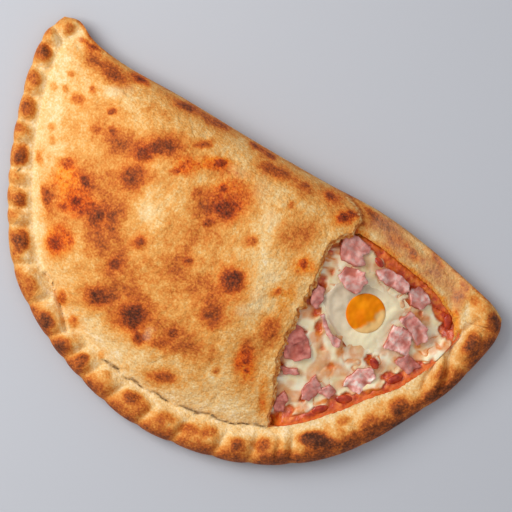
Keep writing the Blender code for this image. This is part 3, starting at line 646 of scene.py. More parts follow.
def crust_plan():
    """Slices of the crust: close together over the rim and at the steep edges."""
    belly, fold = ends(np.linspace(0, 1, CRUST_ROWS))
    length = np.linalg.norm(fold - belly, axis=1)[:, None]
    scale = np.minimum(1, length / LEAST_LENGTH)
    lobe = LOBE_REACH * scale * np.linspace(0, 1, LOBE_COLUMNS + 1)[:-1] ** 2
    rim = scale * np.linspace(LOBE_REACH, RIM_REACH, RIM_COLUMNS + 1)[:-1]
    span = length - (RIM_REACH + FOLD_REACH) * scale
    middle = RIM_REACH * scale + span * np.linspace(0, 1, MIDDLE_COLUMNS + 1)[:-1]
    edge = length - FOLD_REACH * scale * np.linspace(1, 0, EDGE_COLUMNS) ** 2
    top_columns = LOBE_COLUMNS + RIM_COLUMNS + MIDDLE_COLUMNS + EDGE_COLUMNS - 1
    under = np.linspace(0, 1, UNDER_COLUMNS + 1)[1:]
    back = length - FOLD_UNDERCUT * scale * under**2
    base = (length - FOLD_UNDERCUT * scale) * np.linspace(1, 0, UNDER_COLUMNS + 1)[1:-1]
    base = base + BELLY_UNDERCUT * scale * under[:-1]
    foot = BELLY_UNDERCUT * scale * np.linspace(1, 0, FOOT_COLUMNS + 1)[:-1] ** 2
    across = np.hstack([lobe, rim, middle, edge, back, base, foot])
    share = across / np.maximum(length, 1e-6)
    return belly[:, None] + (fold - belly)[:, None] * share[..., None], top_columns


NOTCH_TOWARDS = (0.0, 67.0)
NOTCH_REACH = 12.0
NOTCH_FROM_FOLD = 8.0


def notch(body):
    """Pulls the rim's outer edge in at each crease, so that its outline is lobed."""
    points = vertices(body)
    flat = points[:, :2]
    to_belly, to_fold, along = place(flat)
    inwards = np.array([NOTCH_TOWARDS]) - flat
    inwards = inwards / np.linalg.norm(inwards, axis=1)[:, None]
    depth = PINCH_NOTCH * table(PINCH_DEPTHS, along) * pinched(to_belly, along, FAR)
    depth = depth * (1 - ease(to_belly / NOTCH_REACH)) * ease(to_fold / NOTCH_FROM_FOLD)
    points[:, :2] = flat + inwards * depth[:, None]
    move_vertices(body, points)


crust = loaf("baked_crust", *crust_plan(), crust_top, underside)
notch(crust)

PLAN_SLICES = 400
PLAN_STEPS = 140
OPENED_FROM = 0.655
SIDE_SHARE = 0.003


def filling_plan(rows, columns, under_columns, rim_extra, fold_inset, start, open_rows):
    """Slices of a body in the pocket, closer together in the torn opening."""
    shares = np.linspace(0, 1, PLAN_SLICES)

    def room(at):
        belly, fold = ends(at)
        steps = np.linspace(0, 1, PLAN_STEPS)
        points = belly[:, None] + (fold - belly)[:, None] * steps[:, None]
        flat = points.reshape(-1, 2)
        to_belly, to_fold, along = place(flat)
        clear = np.minimum(to_belly - table(RIM_WIDTHS, along) - rim_extra, to_fold - fold_inset)
        clear = np.minimum(clear, flat[:, 0] - start).reshape(len(at), -1)
        return belly, fold, steps, clear

    clear = room(shares)[3]
    fits = shares[clear.max(1) > 0]
    closed_part = np.linspace(fits[0], OPENED_FROM, rows - open_rows + 1)[:-1]
    at = np.r_[closed_part, np.linspace(OPENED_FROM, fits[-1], open_rows)]
    belly, fold, steps, clear = room(at)
    first, last = [], []
    for line in clear:
        inside = np.flatnonzero(line > 0)
        if len(inside) == 0:
            inside = np.array([line.argmax()])
        a, b = inside[0], inside[-1]
        low = a if a == 0 or line[a] <= 0 else a - line[a] / (line[a] - line[a - 1])
        high = b if b == len(line) - 1 or line[b] <= 0 else b + line[b] / (line[b] - line[b + 1])
        first.append(low / (len(steps) - 1))
        last.append(high / (len(steps) - 1))
    first, last = np.array(first)[:, None], np.array(last)[:, None]
    over = np.linspace(0, 1, columns + 1)
    back = np.linspace(1, 0, under_columns + 1)[1:-1]
    back = np.r_[1 - SIDE_SHARE, back, SIDE_SHARE]
    share = first + (last - first) * np.r_[over, back]
    return belly[:, None] + (fold - belly)[:, None] * share[..., None]


def flat_floor(points):
    return np.full(len(points), FLOOR)


pocket_plan = filling_plan(130, 50, 8, POCKET_RIM_INSET, POCKET_FOLD_INSET, POCKET_START, 70)
pocket = loaf("pocket", pocket_plan, 50, roof, flat_floor)

OPENING_COLUMNS = 640
OPENING_DEPTHS = (-16.0, -1.4, 0.0, 0.6, 1.2, 1.8, 2.4, 3.0, 3.6, 4.2, 5.0, 6.2)
OPENING_ABOVE = 70.0
OPENING_FLOOR = 5.5
TEAR_SLOPE = 0.7
TEAR_BACK = 1.3
FOLD_SLOPE = 0.6
RIM_SLOPE = 0.2
# Raggedness of the edge: depth, depth added where it is torn, wave size, seed
RAGGED = ((0.35, 0.9, 5.0, 4.0), (0.25, 0.4, 2.4, 6.0), (0.3, 0.0, 1.2, 8.0))


def opening_loop():
    """The torn edge, the rim's inner edge and the edge along the fold."""
    tear = smooth_line(TEAR, 0.5)
    belly = smooth_line(BELLY, 1.0)
    way = np.arange(len(belly))
    belly = inset(belly, table(RIM_WIDTHS, way))
    _, to_fold, _ = place(belly)
    belly = belly[(way > OPENING_RIM_START + 3) & (to_fold >= fold_inset(belly) + 1)]
    fold = smooth_line(FOLD, 1.0)
    fold = inset(fold, fold_inset(fold))
    to_belly, _, along = place(fold)
    fold = fold[(to_belly >= table(RIM_WIDTHS, along) + 1) & (fold[:, 0] > TEAR[0][0] + 2)]
    torn = np.r_[np.ones(len(tear)), np.zeros(len(belly) + len(fold) + 1)]
    folded = np.r_[np.zeros(len(tear) + len(belly)), np.ones(len(fold)), 0.5]
    line = np.vstack([tear, belly, fold, tear[:1]])
    way = way_along(line)
    at = np.linspace(0, way[-1], OPENING_COLUMNS, endpoint=False)
    return points_at(line, way, at), np.interp(at, way, torn), np.interp(at, way, folded)


def make_opening():
    """Makes the body that cuts away the dough over the opening, down a ragged wall of crumb."""
    loop, torn, folded = opening_loop()
    inwards = np.array(OPENING_CENTRE) - loop
    reach = np.linalg.norm(inwards, axis=1)
    inwards = inwards / reach[:, None]
    ragged = sum((deep + more * torn) * waves(loop, size, seed) for deep, more, size, seed in RAGGED)
    slope = RIM_SLOPE + (TEAR_SLOPE - RIM_SLOPE) * torn + (FOLD_SLOPE - RIM_SLOPE) * folded
    heights = crust_top(loop)
    centre = np.tile(OPENING_CENTRE, (OPENING_COLUMNS, 1))
    rings = [np.c_[centre, np.full(OPENING_COLUMNS, OPENING_ABOVE)]]
    for k, depth in enumerate(OPENING_DEPTHS):
        craggy = waves(loop + 3.7 * k, 1.7, 0.9 * k) * (0.3 + 0.4 * torn) * (depth > 0)
        inward = ragged + craggy - TEAR_BACK * torn + slope * np.clip(depth, -1.0, 4.2)
        rings.append(np.c_[loop + inwards * inward[:, None], heights - depth])
    low = rings[-1].copy()
    low[:, 2] = OPENING_FLOOR
    rings += [low, np.c_[centre, low[:, 2]]]
    body, row, column = ball_net("opening", len(rings), OPENING_COLUMNS)
    move_vertices(body, np.array(rings)[row, column])
    return body


def pick(body):
    bpy.ops.object.select_all(action="DESELECT")
    body.select_set(True)
    bpy.context.view_layer.objects.active = body


def apply_all(body):
    pick(body)
    for change in list(body.modifiers):
        bpy.ops.object.modifier_apply(modifier=change.name)


def cut_away(body, cutter):
    cut = body.modifiers.new("cut", "BOOLEAN")
    cut.operation = "DIFFERENCE"
    cut.solver = "MANIFOLD"
    cut.object = cutter
    apply_all(body)
    bpy.data.objects.remove(cutter)


cut_away(crust, pocket)
cut_away(crust, make_opening())


def finish_mesh(body, degrees):
    pick(body)
    bpy.ops.object.shade_smooth_by_angle(angle=math.radians(degrees))


def mark(body, name, values):
    """Stores one number at each vertex, for the paint to read."""
    layer = body.data.attributes.new(name, "FLOAT", "POINT")
    layer.data.foreach_set("value", values.astype(np.float32))


# Browning in patches over the dome, the underside and the fold's upright side:
# strength, wave size, seed
PATCHES = ((0.2, 17, 1.0), (0.16, 7.5, 9.0), (0.1, 3.2, 4.0))
UNDER_PATCHES = ((0.22, 14, 2.0), (0.2, 5, 6.0))
SIDE_PATCHES = ((0.26, 16, 2.6), (0.14, 5, 6.2))
PALE_BAKE = 0.1
UNDER_BAKE = 0.42
SIDE_BAKE = 0.34
MOST_BROWNED = 0.55


def toasted(flat, to_belly, along, width):
    """Browning of the rim, on its outer side and on top of its lobes."""
    lobe = (1 - pinched(to_belly, along, width)) ** 0.7
    outer = 1 - ease((to_belly - 1.0) / (0.5 * width))
    lobe_top = lobe * np.exp(-(((to_belly - 0.42 * width) / (0.3 * width)) ** 2))
    brown = 0.1 * outer + lobe * (0.2 * outer + 0.16 * waves(flat, 6, 4.4))
    brown = brown + (0.16 + 0.06 * ease((along - 200) / 60)) * lobe_top
    return brown + 0.24 * outer * ease((along - 140) / 60) + 0.05 * ease((along - 380) / 40)


def baked(points, top, pixels):
    """How dark each spot of the whole dough is baked: 0 is raw, 1 is black."""
    flat = points[:, :2]
    to_belly, to_fold, along = place(flat)
    width = table(RIM_WIDTHS, along)
    broad = np.zeros(len(points))
    for *oval, amount in BROWNED:
        broad += amount * np.exp(-(from_oval(pixels, *oval) ** 2))
    on_dome = ease((to_belly - width) / 6)
    patchy = noise(flat, *PATCHES) * (0.4 + broad)
    bake = PALE_BAKE + on_dome * (PALE_BAKE + np.minimum(MOST_BROWNED, broad) + patchy)
    on_rim = 1 - ease((to_belly - 0.7 * width) / (0.3 * width))
    bake = bake + on_rim * toasted(flat, to_belly, along, width)
    bake = bake + (1 - bake) * blots(pixels, SCORCHED, 0.35, 1.3)
    bake = bake + (1 - bake) * on_rim * blots(pixels, RIM_SCORCHED)
    share = points[:, 2] / np.maximum(top, 1)
    baked_under = UNDER_BAKE + noise(flat, *UNDER_PATCHES)
    bake = bake + (baked_under - bake) * (1 - ease((share - 0.35) / 0.3))
    baked_side = SIDE_BAKE + noise(np.c_[flat[:, 0], points[:, 2]], *SIDE_PATCHES)
    return bake + (baked_side - bake) * (1 - ease((to_fold - 0.5) / 2.0))


def oiled(flat, pixels):
    """How much oil has soaked into the dough, also beside the scorches and the filling."""
    to_belly, to_fold, along = place(flat)
    halos = [(x, y, 1.7 * w, 1.7 * h, turn, 0.6 * dark) for x, y, w, h, turn, dark, _ in SCORCHED]
    by_filling = np.minimum(fold_inset(flat) - to_fold + FAR * (past_tear(flat) < 0), FAR)
    spread = np.maximum(3.0 + 2.6 * waves(flat, 6.0, 3.6), 0.8)
    stain = (1 - ease(by_filling / spread)) * (by_filling > -4)
    stain = stain * ease((flat[:, 0] - FLAP_PLACE) / 8) * (to_belly > table(RIM_WIDTHS, along))
    return 1 - (1 - blots(pixels, OILY, 0.5, 1.5)) * (1 - blots(pixels, halos)) * (1 - 0.95 * stain)


def brown_and_shade_crust(body):
    """Marks how far each spot of the dough is baked, oiled, floured or torn bare, with painted shade in
    the seam's crack and a painted shadow beyond the torn flap.
    """
    points = vertices(body)
    flat, height = points[:, :2], points[:, 2]
    to_belly, to_fold, along = place(flat)
    top = crust_top(flat)
    pixels = to_photo(flat, height)
    pixels = pixels + 2.2 * shift(flat, 9, 2.2, 8.1) + 0.8 * shift(flat, 3, 5.2, 3.1)
    bake = baked(points, top, pixels)
    loop, *_ = opening_loop()
    edge, _ = nearest(flat, np.vstack([loop, loop[:1]]))
    depth = top - height
    lip = (1 - ease((edge - 0.3) / 2.2)) * ease((depth + 0.2) / 0.1) * (depth < 0.6)
    bake = bake + 0.14 * lip * (1 - bake) * (past_tear(flat) < 2)
    crumb = ease((depth - 0.15) / 0.5) * (edge < 9) * (height > FLOOR + 1)
    beyond = beyond_flap(flat) + 0.5 * waves(flat, 2.2, 5.5)
    flap = (np.abs(flat[:, 0] - FLAP_PLACE) < FLAP_LENGTH) * (to_fold < 24)
    flap = flap * (height / np.maximum(top, 1) > 0.6)
    crumb = np.maximum(crumb, flap * ease((beyond + 0.9) / 0.5) * (1 - ease((beyond - 0.6) / 0.6)))
    # Painted shadow of the torn flap's edge on the lower layer, added to the browning
    shade = flap * ease((beyond - 0.5) / 0.5) * (1 - ease((beyond - 1.2) / 2.0))
    bake = bake + 0.35 * shade * (1 - bake)
    oil = oiled(flat, pixels)
    strip = ease(beyond / 1.5) * ease((flat[:, 0] - FLAP_PLACE + 6) / 10)
    strip = strip * (to_fold < fold_inset(flat) + 3) * ease((to_belly - table(RIM_WIDTHS, along)) / 6)
    mark(body, "bake", np.clip(bake, 0, 1))
    mark(body, "oil", oil)
    # The crack's mask, which the paint darkens as painted shade in the open seam
    mark(body, "crack", cracked(flat))
    mark(body, "flour", np.maximum(blots(pixels, FLOURY), 0.34 * strip * (1 - oil)))
    mark(body, "crumb", crumb)
    mark(body, "soaked", crumb * (1 - ease((height - filling_top(flat) - 0.5) / 2.0)))


ROOF_GAP = 0.85
SETTLED = 2.0
CHEESE_THICK = 2.1
SAUCE_GAP = 0.5
SAUCE_LEAST = 1.2
FOLD_BRIM = 2.8


def brim(points):
    """How much the filling rises to meet the rim and the fold in the opening."""
    to_belly, to_fold, along = place(points)
    by_rim = 1 - ease((to_belly - table(RIM_WIDTHS, along)) / 13)
    by_rim = by_rim * (table(SEAM_HEIGHTS, along) - table(POCKET_BASE, along) + ROOF_GAP + SETTLED)
    past_fold = to_fold - fold_inset(points)
    by_fold = FOLD_BRIM * (1 - ease(past_fold / 9))
    opened = ease((past_fold + 1.2) / 1.2) * ease((past_tear(points) - 1) / 8)
    return np.maximum(by_rim, by_fold) * opened


def filling_top(points):
    """The filling fills the pocket and has settled a little in the opening."""
    settled = SETTLED * ease((past_tear(points) + 14) / 22)
    return roof(points) - ROOF_GAP - settled + brim(points)


brown_and_shade_crust(crust)
finish_mesh(crust, 50)


def node(paint, kind, **inputs):
    made = paint.node_tree.nodes.new(kind)
    for name, value in inputs.items():
        feed(paint, made.inputs[name.replace("_", " ")], value)
    return made


def reading(paint, name):
    made = paint.node_tree.nodes.new("ShaderNodeAttribute")
    made.attribute_name = name
    return made.outputs["Fac"]


def grain(paint, scale, detail=3.0):
    """Noise in the object's own coordinates, as a number from 0 to 1."""
    where = paint.node_tree.nodes.new("ShaderNodeTexCoord").outputs["Object"]
    return node(paint, "ShaderNodeTexNoise", Vector=where, Scale=scale, Detail=detail).outputs["Fac"]


def arith(paint, operation, a, b):
    made = paint.node_tree.nodes.new("ShaderNodeMath")
    made.operation = operation
    feed(paint, made.inputs[0], a)
    feed(paint, made.inputs[1], b)
    return made.outputs[0]


def times(paint, a, b):
    return arith(paint, "MULTIPLY", a, b)


def swing(paint, share, middle, strength):
    """Noise turned into a number on both sides of 0."""
    return times(paint, arith(paint, "SUBTRACT", share, middle), strength)


def blend(paint, share, a, b, kind="MIX"):
    made = paint.node_tree.nodes.new("ShaderNodeMix")
    made.data_type = "RGBA"
    made.blend_type = kind
    feed(paint, made.inputs[0], share)
    feed(paint, made.inputs[6], a)
    feed(paint, made.inputs[7], b)
    return made.outputs[2]


def ramp(paint, share, stops):
    made = paint.node_tree.nodes.new("ShaderNodeValToRGB")
    feed(paint, made.inputs["Fac"], share)
    places = made.color_ramp.elements
    while len(places) < len(stops):
        places.new(0.5)
    for spot, (at, colour) in zip(places, stops):
        spot.position = at
        spot.color = linear(colour)
    return made.outputs["Color"]


def bump(paint, shader, height, strength, distance):
    made = node(paint, "ShaderNodeBump", Height=height, Strength=strength, Distance=distance)
    feed(paint, shader.inputs["Normal"], made.outputs["Normal"])


def soften(shader, weight, radius):
    """Lets light into a moist food."""
    shader.inputs["Subsurface Weight"].default_value = weight
    shader.inputs["Subsurface Radius"].default_value = radius


DOUGH_COLOURS = (
    (0.0, (250, 226, 184)), (0.12, (238, 198, 134)), (0.27, (228, 162, 82)),
    (0.44, (212, 127, 48)), (0.6, (184, 91, 30)), (0.78, (130, 64, 26)), (1.0, (76, 38, 20)),
)
OILY_COLOURS = (
    (0.0, (244, 178, 74)), (0.26, (236, 138, 30)), (0.46, (222, 96, 12)),
    (0.68, (164, 56, 8)), (1.0, (70, 26, 10)),
)

CRUMB_COLOURS = ((0.36, (198, 100, 34)), (0.5, (236, 152, 68)), (0.66, (255, 220, 152)))
FLOUR_COLOUR = (232, 216, 178)
SOAKED_COLOUR = (196, 84, 24)
# Painted shade in the seam's crack
CRACK_SHADE_COLOUR = (122, 84, 48)
MOST_SPECKS = 0.16


def dough_paint():
    paint, shader = new_paint("baked_dough", 0.68)
    shader.inputs["Specular IOR Level"].default_value = 0.22
    # The bake mark holds the browning and also the painted shadow beyond the torn flap
    bake, oil = reading(paint, "bake"), reading(paint, "oil")
    coarse = swing(paint, grain(paint, 240, 4), 0.5, 0.42)
    fine = swing(paint, grain(paint, 780), 0.5, 0.6)
    rough = arith(paint, "ADD", times(paint, bake, 1.1), 0.5)
    rough = times(paint, arith(paint, "ADD", coarse, fine), rough)
    specks = swing(paint, grain(paint, 640, 2), 0.57, 5.0)
    specks = arith(paint, "MAXIMUM", arith(paint, "MINIMUM", specks, MOST_SPECKS), 0.0)
    bake = arith(paint, "ADD", arith(paint, "ADD", bake, rough), times(paint, specks, oil))
    oil = times(paint, oil, times(paint, grain(paint, 420, 4), 2.0))
    oil = arith(paint, "MINIMUM", oil, 1.0)
    colour = blend(paint, oil, ramp(paint, bake, DOUGH_COLOURS), ramp(paint, bake, OILY_COLOURS))
    flour = times(paint, reading(paint, "flour"), grain(paint, 500))
    colour = blend(paint, flour, colour, linear(FLOUR_COLOUR))
    crumb = ramp(paint, grain(paint, 420, 4), CRUMB_COLOURS)
    colour = blend(paint, reading(paint, "crumb"), colour, crumb)
    colour = blend(paint, reading(paint, "soaked"), colour, linear(SOAKED_COLOUR))
    # Painted shade: the open seam's crack darkened
    colour = blend(paint, reading(paint, "crack"), colour, linear(CRACK_SHADE_COLOUR))
    feed(paint, shader.inputs["Base Color"], colour)
    height = arith(paint, "ADD", grain(paint, 360, 5), times(paint, grain(paint, 1200), 0.4))
    bump(paint, shader, height, 0.8, 0.0016)
    return paint


crust.data.materials.clear()
crust.data.materials.append(dough_paint())
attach(crust, "root")
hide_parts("crust")


# Tomato sauce
# Crushed tomatoes spread over the floor of the pocket. They show wet and red where
# the cheese has drawn back, along the rim and against the fold.

GAP = 0.35
SAUCE_SHOWS = (
    (281, 416, 6, 8, 0, 1.0), (292, 422, 8, 5, 0, 1.0), (388, 377, 7, 5, 0, 0.9),
    (398, 379, 8, 5, 0, 0.9), (409, 376, 8, 6, -10, 0.9), (448, 322, 5, 9, 15, 1.0),
    (444, 331, 4, 5, 0, 0.9), (451, 336, 4, 7, 0, 0.9), (381, 253, 6, 5, 35, 0.9),
    (389, 262, 6, 5, 40, 0.8), (398, 273, 9, 4, 35, 0.9), (411, 284, 8, 5, 40, 0.7),
    (431, 297, 6, 7, 50, 1.0), (338, 242, 7, 5, -40, 1.0), (330, 250, 3, 4, 0, 0.8),
    (321, 285, 5, 9, 10, 0.9), (311, 300, 8, 6, 0, 0.9), (316, 312, 5, 5, 0, 0.8),
    (319, 327, 4, 5, 0, 0.8), (297, 331, 9, 3, 0, 0.9), (279, 367, 3, 8, 0, 1.0),
    (345, 342, 3, 4, 0, 0.8), (371, 360, 5, 5, 0, 0.9), (289, 410, 5, 5, 0, 0.9),
    (303, 398, 3, 3, 0, 0.8), (332, 272, 2, 2, 0, 0.5), (322, 348, 3, 3, 0, 0.4),
    (333, 398, 7, 4, 0, 0.6), (347, 398, 7, 5, 0, 0.8), (408, 303, 3, 5, 0, 0.5),
    (421, 314, 3, 3, 0, 0.5), (330, 366, 4, 3, 0, 0.4), (417, 366, 6, 5, 0, 0.6),
)
# Width of the bare sauce along the rim and the fold, by the place across the photo
RIM_BAND = (
    (275, 5), (300, 3), (330, 3.5), (360, 3), (376, 0), (388, 4.5), (422, 4.0), (432, 0), (440, -3),
)
FOLD_BAND = ((345, 2), (375, 3), (400, 5), (430, 6), (440, 5), (447, 3), (455, 5), (460, 3))
DRAWN_OVER = 3.5


def sauce_shows(points):
    """How far the cheese has drawn back from the sauce, from 0 to 1."""
    pixels = to_photo(points, filling_top(points))
    pixels = pixels + 2.4 * shift(points, 4.5, 2.9, 7.3) + 1.4 * shift(points, 2.0, 1.7, 4.1)
    to_belly, to_fold, along = place(points)
    by_rim = to_belly - table(RIM_WIDTHS, along) - 2.6 * waves(points, 6.5, 1.9)
    by_fold = to_fold - fold_inset(points) - 2.8 * waves(points, 8.0, 2.9)
    bands = np.minimum(by_rim - table(RIM_BAND, pixels[:, 0]), by_fold - table(FOLD_BAND, pixels[:, 0]))
    return 1 - ease(bands / DRAWN_OVER) * (1 - blots(pixels, SAUCE_SHOWS, 0.35, 1.5))


SAUCE_RIM_INSET = -0.3
SAUCE_DOWN = 1.2
SAUCE_ROWS = 330
SAUCE_COLUMNS = 110
SAUCE_LUMPS = ((0.45, 5.0, 3.3), (0.3, 2.2, 6.6))
CHEESE_UP = 1.7


def in_opening(points):
    """0 under the closed dome, 1 in the torn opening."""
    return ease((past_tear(points) + 10) / 8)


def sauce_surface(points):
    low = filling_top(points) - SAUCE_DOWN + noise(points, *SAUCE_LUMPS)
    covered = filling_top(points) - CHEESE_THICK - SAUCE_GAP
    return np.maximum(covered + (low - covered) * in_opening(points), FLOOR + SAUCE_LEAST)


sauce_plan = filling_plan(SAUCE_ROWS, SAUCE_COLUMNS, 12, SAUCE_RIM_INSET, POCKET_FOLD_INSET + GAP,
                          POCKET_START + GAP, 230)
sauce = loaf("sauce_layer", sauce_plan, SAUCE_COLUMNS, sauce_surface, lambda p: flat_floor(p) + GAP)


def sauce_oil(points):
    """How orange the sauce is: most against the dough and here and there elsewhere."""
    to_belly, to_fold, along = place(points)
    by_dough = np.minimum(to_belly - table(RIM_WIDTHS, along), to_fold - fold_inset(points))
    edge = 1 - ease((by_dough - 0.6 + 1.6 * waves(points, 5.0, 5.1)) / 3.4)
    return np.clip(0.8 * edge + 0.6 * waves(points, 6.0, 2.2), 0, 1)


mark(sauce, "oily", sauce_oil(vertices(sauce)[:, :2]))
PULP_COLOURS = ((0.3, (156, 38, 6)), (0.48, (206, 72, 16)), (0.66, (236, 130, 40)))
SAUCE_OIL_COLOUR = (230, 112, 32)


def sauce_paint():
    paint, shader = new_paint("tomato_sauce", 0.28)
    pulp = ramp(paint, grain(paint, 240, 4), PULP_COLOURS)
    oily = times(paint, reading(paint, "oily"), times(paint, grain(paint, 420), 1.9))
    feed(paint, shader.inputs["Base Color"], blend(paint, oily, pulp, linear(SAUCE_OIL_COLOUR)))
    soften(shader, 0.15, (0.003, 0.0008, 0.0004))
    bump(paint, shader, grain(paint, 500, 4), 0.5, 0.0012)
    return paint


finish_mesh(sauce, 60)
sauce.data.materials.append(sauce_paint())
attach(sauce, "root")
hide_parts("tomato_sauce")


# Mozzarella
# Melted over the sauce in soft white pools, stained orange by tomato oil where it
# is thin.

CHEESE_RIM_INSET = 0.4
CHEESE_FOLD_INSET = 10.0
CHEESE_START = -122.0
CHEESE_ROWS = 330
CHEESE_COLUMNS = 130
CHEESE_RELIEF = ((0.5, 9.0, 5.5), (0.26, 3.5, 8.8))
# Orange stains on the cheese: place, half width, half height, turn, strength. The mark at (322, 262), in
# the shade of the torn edge, is painted shade.
ORANGE_CHEESE_AND_SHADE = (
    (335, 366, 9, 6, 0, 0.5), (352, 352, 12, 9, 0, 0.28), (342, 372, 10, 5, 0, 0.5),
    (418, 317, 9, 8, 0, 0.6), (408, 303, 4, 6, 0, 0.6), (377, 390, 10, 4, -15, 0.7),
    (322, 262, 9, 10, 0, 0.25), (432, 350, 6, 5, 0, 0.4), (441, 335, 5, 5, 0, 0.3),
    (330, 392, 10, 4, -20, 0.4), (302, 404, 6, 6, 0, 0.5), (384, 351, 6, 5, 0, 0.5),
    (344, 340, 7, 7, 0, 0.6), (331, 272, 5, 5, 0, 0.6), (319, 332, 6, 8, 0, 0.5),
    (372, 372, 8, 6, 0, 0.4), (390, 368, 8, 5, 0, 0.3), (425, 352, 3, 4, 0, 0.5),
    (298, 372, 10, 3, 20, 0.5), (367, 262, 5, 8, -30, 0.4), (356, 270, 6, 5, 0, 0.4),
    (329, 370, 6, 8, 10, 0.7), (340, 352, 5, 7, 0, 0.7), (341, 384, 8, 4, -20, 0.6),
    (305, 313, 6, 6, 0, 0.6), (318, 337, 4, 7, 0, 0.8), (378, 265, 6, 4, 30, 0.6),
    (352, 362, 6, 3, 10, 0.7), (398, 360, 6, 4, 0, 0.7), (438, 346, 7, 3, 40, 0.8),
    (427, 322, 4, 7, 0, 0.6), (446, 346, 4, 6, 0, 0.8), (362, 394, 12, 3, -15, 0.9),
    (300, 410, 8, 5, -10, 0.7), (322, 402, 8, 3, -20, 0.8), (290, 384, 6, 4, 0, 0.3),
    (336, 262, 4, 5, 0, 0.5), (402, 318, 4, 3, 0, 0.7), (418, 345, 5, 5, 0, 0.6),
)


def cheese_depth(points):
    """Thickness of the cheese over the sauce, below 0 where the sauce shows."""
    return CHEESE_UP - (CHEESE_UP + SAUCE_DOWN) * sauce_shows(points)


def cheese_veins(points):
    """Thin orange lines between the pools of cheese."""
    wander = points + 2.0 * shift(points, 5.0, 3.5, 8.5)
    return (1 - ease(np.abs(waves(wander, 10.0, 6.1)) / 0.09)) * ease(0.5 + 2 * waves(points, 14.0, 7.1))


def cheese_surface(points):
    relief = noise(points, *CHEESE_RELIEF) - 0.5 * cheese_veins(points)
    return filling_top(points) + (cheese_depth(points) - SAUCE_DOWN + relief) * in_opening(points)


def cheese_underside(points):
    return np.maximum(filling_top(points) - CHEESE_THICK - 1.6, FLOOR + 2 * GAP)


cheese_plan = filling_plan(CHEESE_ROWS, CHEESE_COLUMNS, 24, CHEESE_RIM_INSET, CHEESE_FOLD_INSET,
                           CHEESE_START, 240)
cheese = loaf("cheese_layer", cheese_plan, CHEESE_COLUMNS, cheese_surface, cheese_underside)


def stain_and_shade_cheese(body):
    """Marks where the cheese is stained orange, with painted shade by the torn edge, and where it is
    thin.
    """
    points = vertices(body)
    flat = points[:, :2]
    pixels = to_photo(flat, points[:, 2]) + 1.5 * shift(flat, 4, 1.9, 6.3)
    stains = np.maximum(0.9 * cheese_veins(flat), 0.5 * ease((waves(flat, 11, 5.9) - 0.02) / 0.3))
    mark(body, "orange_and_shade", np.maximum(blots(pixels, ORANGE_CHEESE_AND_SHADE), stains))
    mark(body, "thin", 1 - ease((cheese_depth(flat) - 0.2) / 1.5))


stain_and_shade_cheese(cheese)
MILK_COLOURS = ((0.35, (248, 238, 208)), (0.65, (240, 218, 166)))
# Orange of the stains, also used for the painted shade by the torn edge
STAIN_AND_SHADE_COLOUR = (222, 128, 40)
THIN_COLOUR = (212, 100, 36)


def cheese_paint():
    paint, shader = new_paint("melted_mozzarella", 0.3)
    milk = ramp(paint, grain(paint, 130, 3), MILK_COLOURS)
    # Orange stains, with the painted shade by the torn edge in the same colour
    stain_and_shade = times(paint, times(paint, reading(paint, "orange_and_shade"), grain(paint, 200, 5)), 2.4)
    colour = blend(paint, stain_and_shade, milk, linear(STAIN_AND_SHADE_COLOUR))
    colour = blend(paint, reading(paint, "thin"), colour, linear(THIN_COLOUR))
    feed(paint, shader.inputs["Base Color"], colour)
    soften(shader, 0.2, (0.002, 0.0015, 0.001))
    bump(paint, shader, grain(paint, 260, 2), 0.25, 0.001)
    return paint


finish_mesh(cheese, 60)
cheese.data.materials.append(cheese_paint())
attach(cheese, "root")
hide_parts("mozzarella")


# Baked egg
# Broken over the filling before the oven: the white has set in a soft pool round a
# bright yolk, and has run a little over the yolk's lower right side.

EGG_EDGE = (
    (327, 287), (339, 279), (357, 279), (375, 282), (396, 292), (407, 302), (411, 310), (406, 319),
    (396, 324), (389, 333), (383, 346), (369, 354), (352, 352), (342, 340), (330, 329), (323, 312),
    (322, 298),
)
EGG_HEIGHT = 27.0
EGG_THICK = 1.4
EGG_RELIEF = ((0.45, 7, 3.9), (0.3, 3, 4.9))
YOLK_CENTRE = (87.2, 37.8)
YOLK_RADIUS = 11.6
YOLK_CROWN = 1.9
EGG_RINGS = 60
EGG_COLUMNS = 120


def egg_reach(angles, outline, centre):
    """Distance from a centre to a closed wavy outline, in each direction."""
    smooth = smooth_line([*outline, outline[0]], 0.5) - np.array(centre)
    turn = np.arctan2(smooth[:, 1], smooth[:, 0])
    order = np.argsort(turn)
    return np.interp(angles, turn[order], np.hypot(*smooth[order].T), period=math.tau)


def pool(name, centre, outline, top, under):
    """A flat round body with a soft edge."""
    bpy.ops.mesh.primitive_uv_sphere_add(segments=EGG_COLUMNS, ring_count=EGG_RINGS)
    body = bpy.context.object
    body.name = name
    ball = vertices(body) * MM
    angles = np.arctan2(ball[:, 1], ball[:, 0])
    tilt = np.arccos(np.clip(ball[:, 2], -1, 1)) / math.pi
    share = 1 - np.abs(2 * tilt - 1)
    share = np.sin(share * math.pi / 2)
    reach = egg_reach(angles, outline, centre) * share
    flat = np.c_[centre[0] + reach * np.cos(angles), centre[1] + reach * np.sin(angles)]
    upper = ball[:, 2] >= -1e-5
    z = np.where(upper, top(flat, share), under(flat, share))
    move_vertices(body, np.c_[flat, z])
    return body


def white_top(flat, share):
    from_yolk = np.linalg.norm(flat - np.array(YOLK_CENTRE), axis=1) / YOLK_RADIUS
    dish = 1.2 * (1 - ease((from_yolk - 0.6) / 0.45))
    on_left = 1 - ease((to_photo(flat, EGG_HEIGHT)[:, 0] - 335) / 25)
    lip = 0.9 * on_left * np.exp(-(((share - 0.86) / 0.07) ** 2))
    soft = noise(flat, *EGG_RELIEF) + lip
    return filling_top(flat) + EGG_THICK * ease((1 - share) * 2.4) + soft - dish


def white_under(flat, share):
    return filling_top(flat) - 1.2 * round_over((1 - share) * 8)


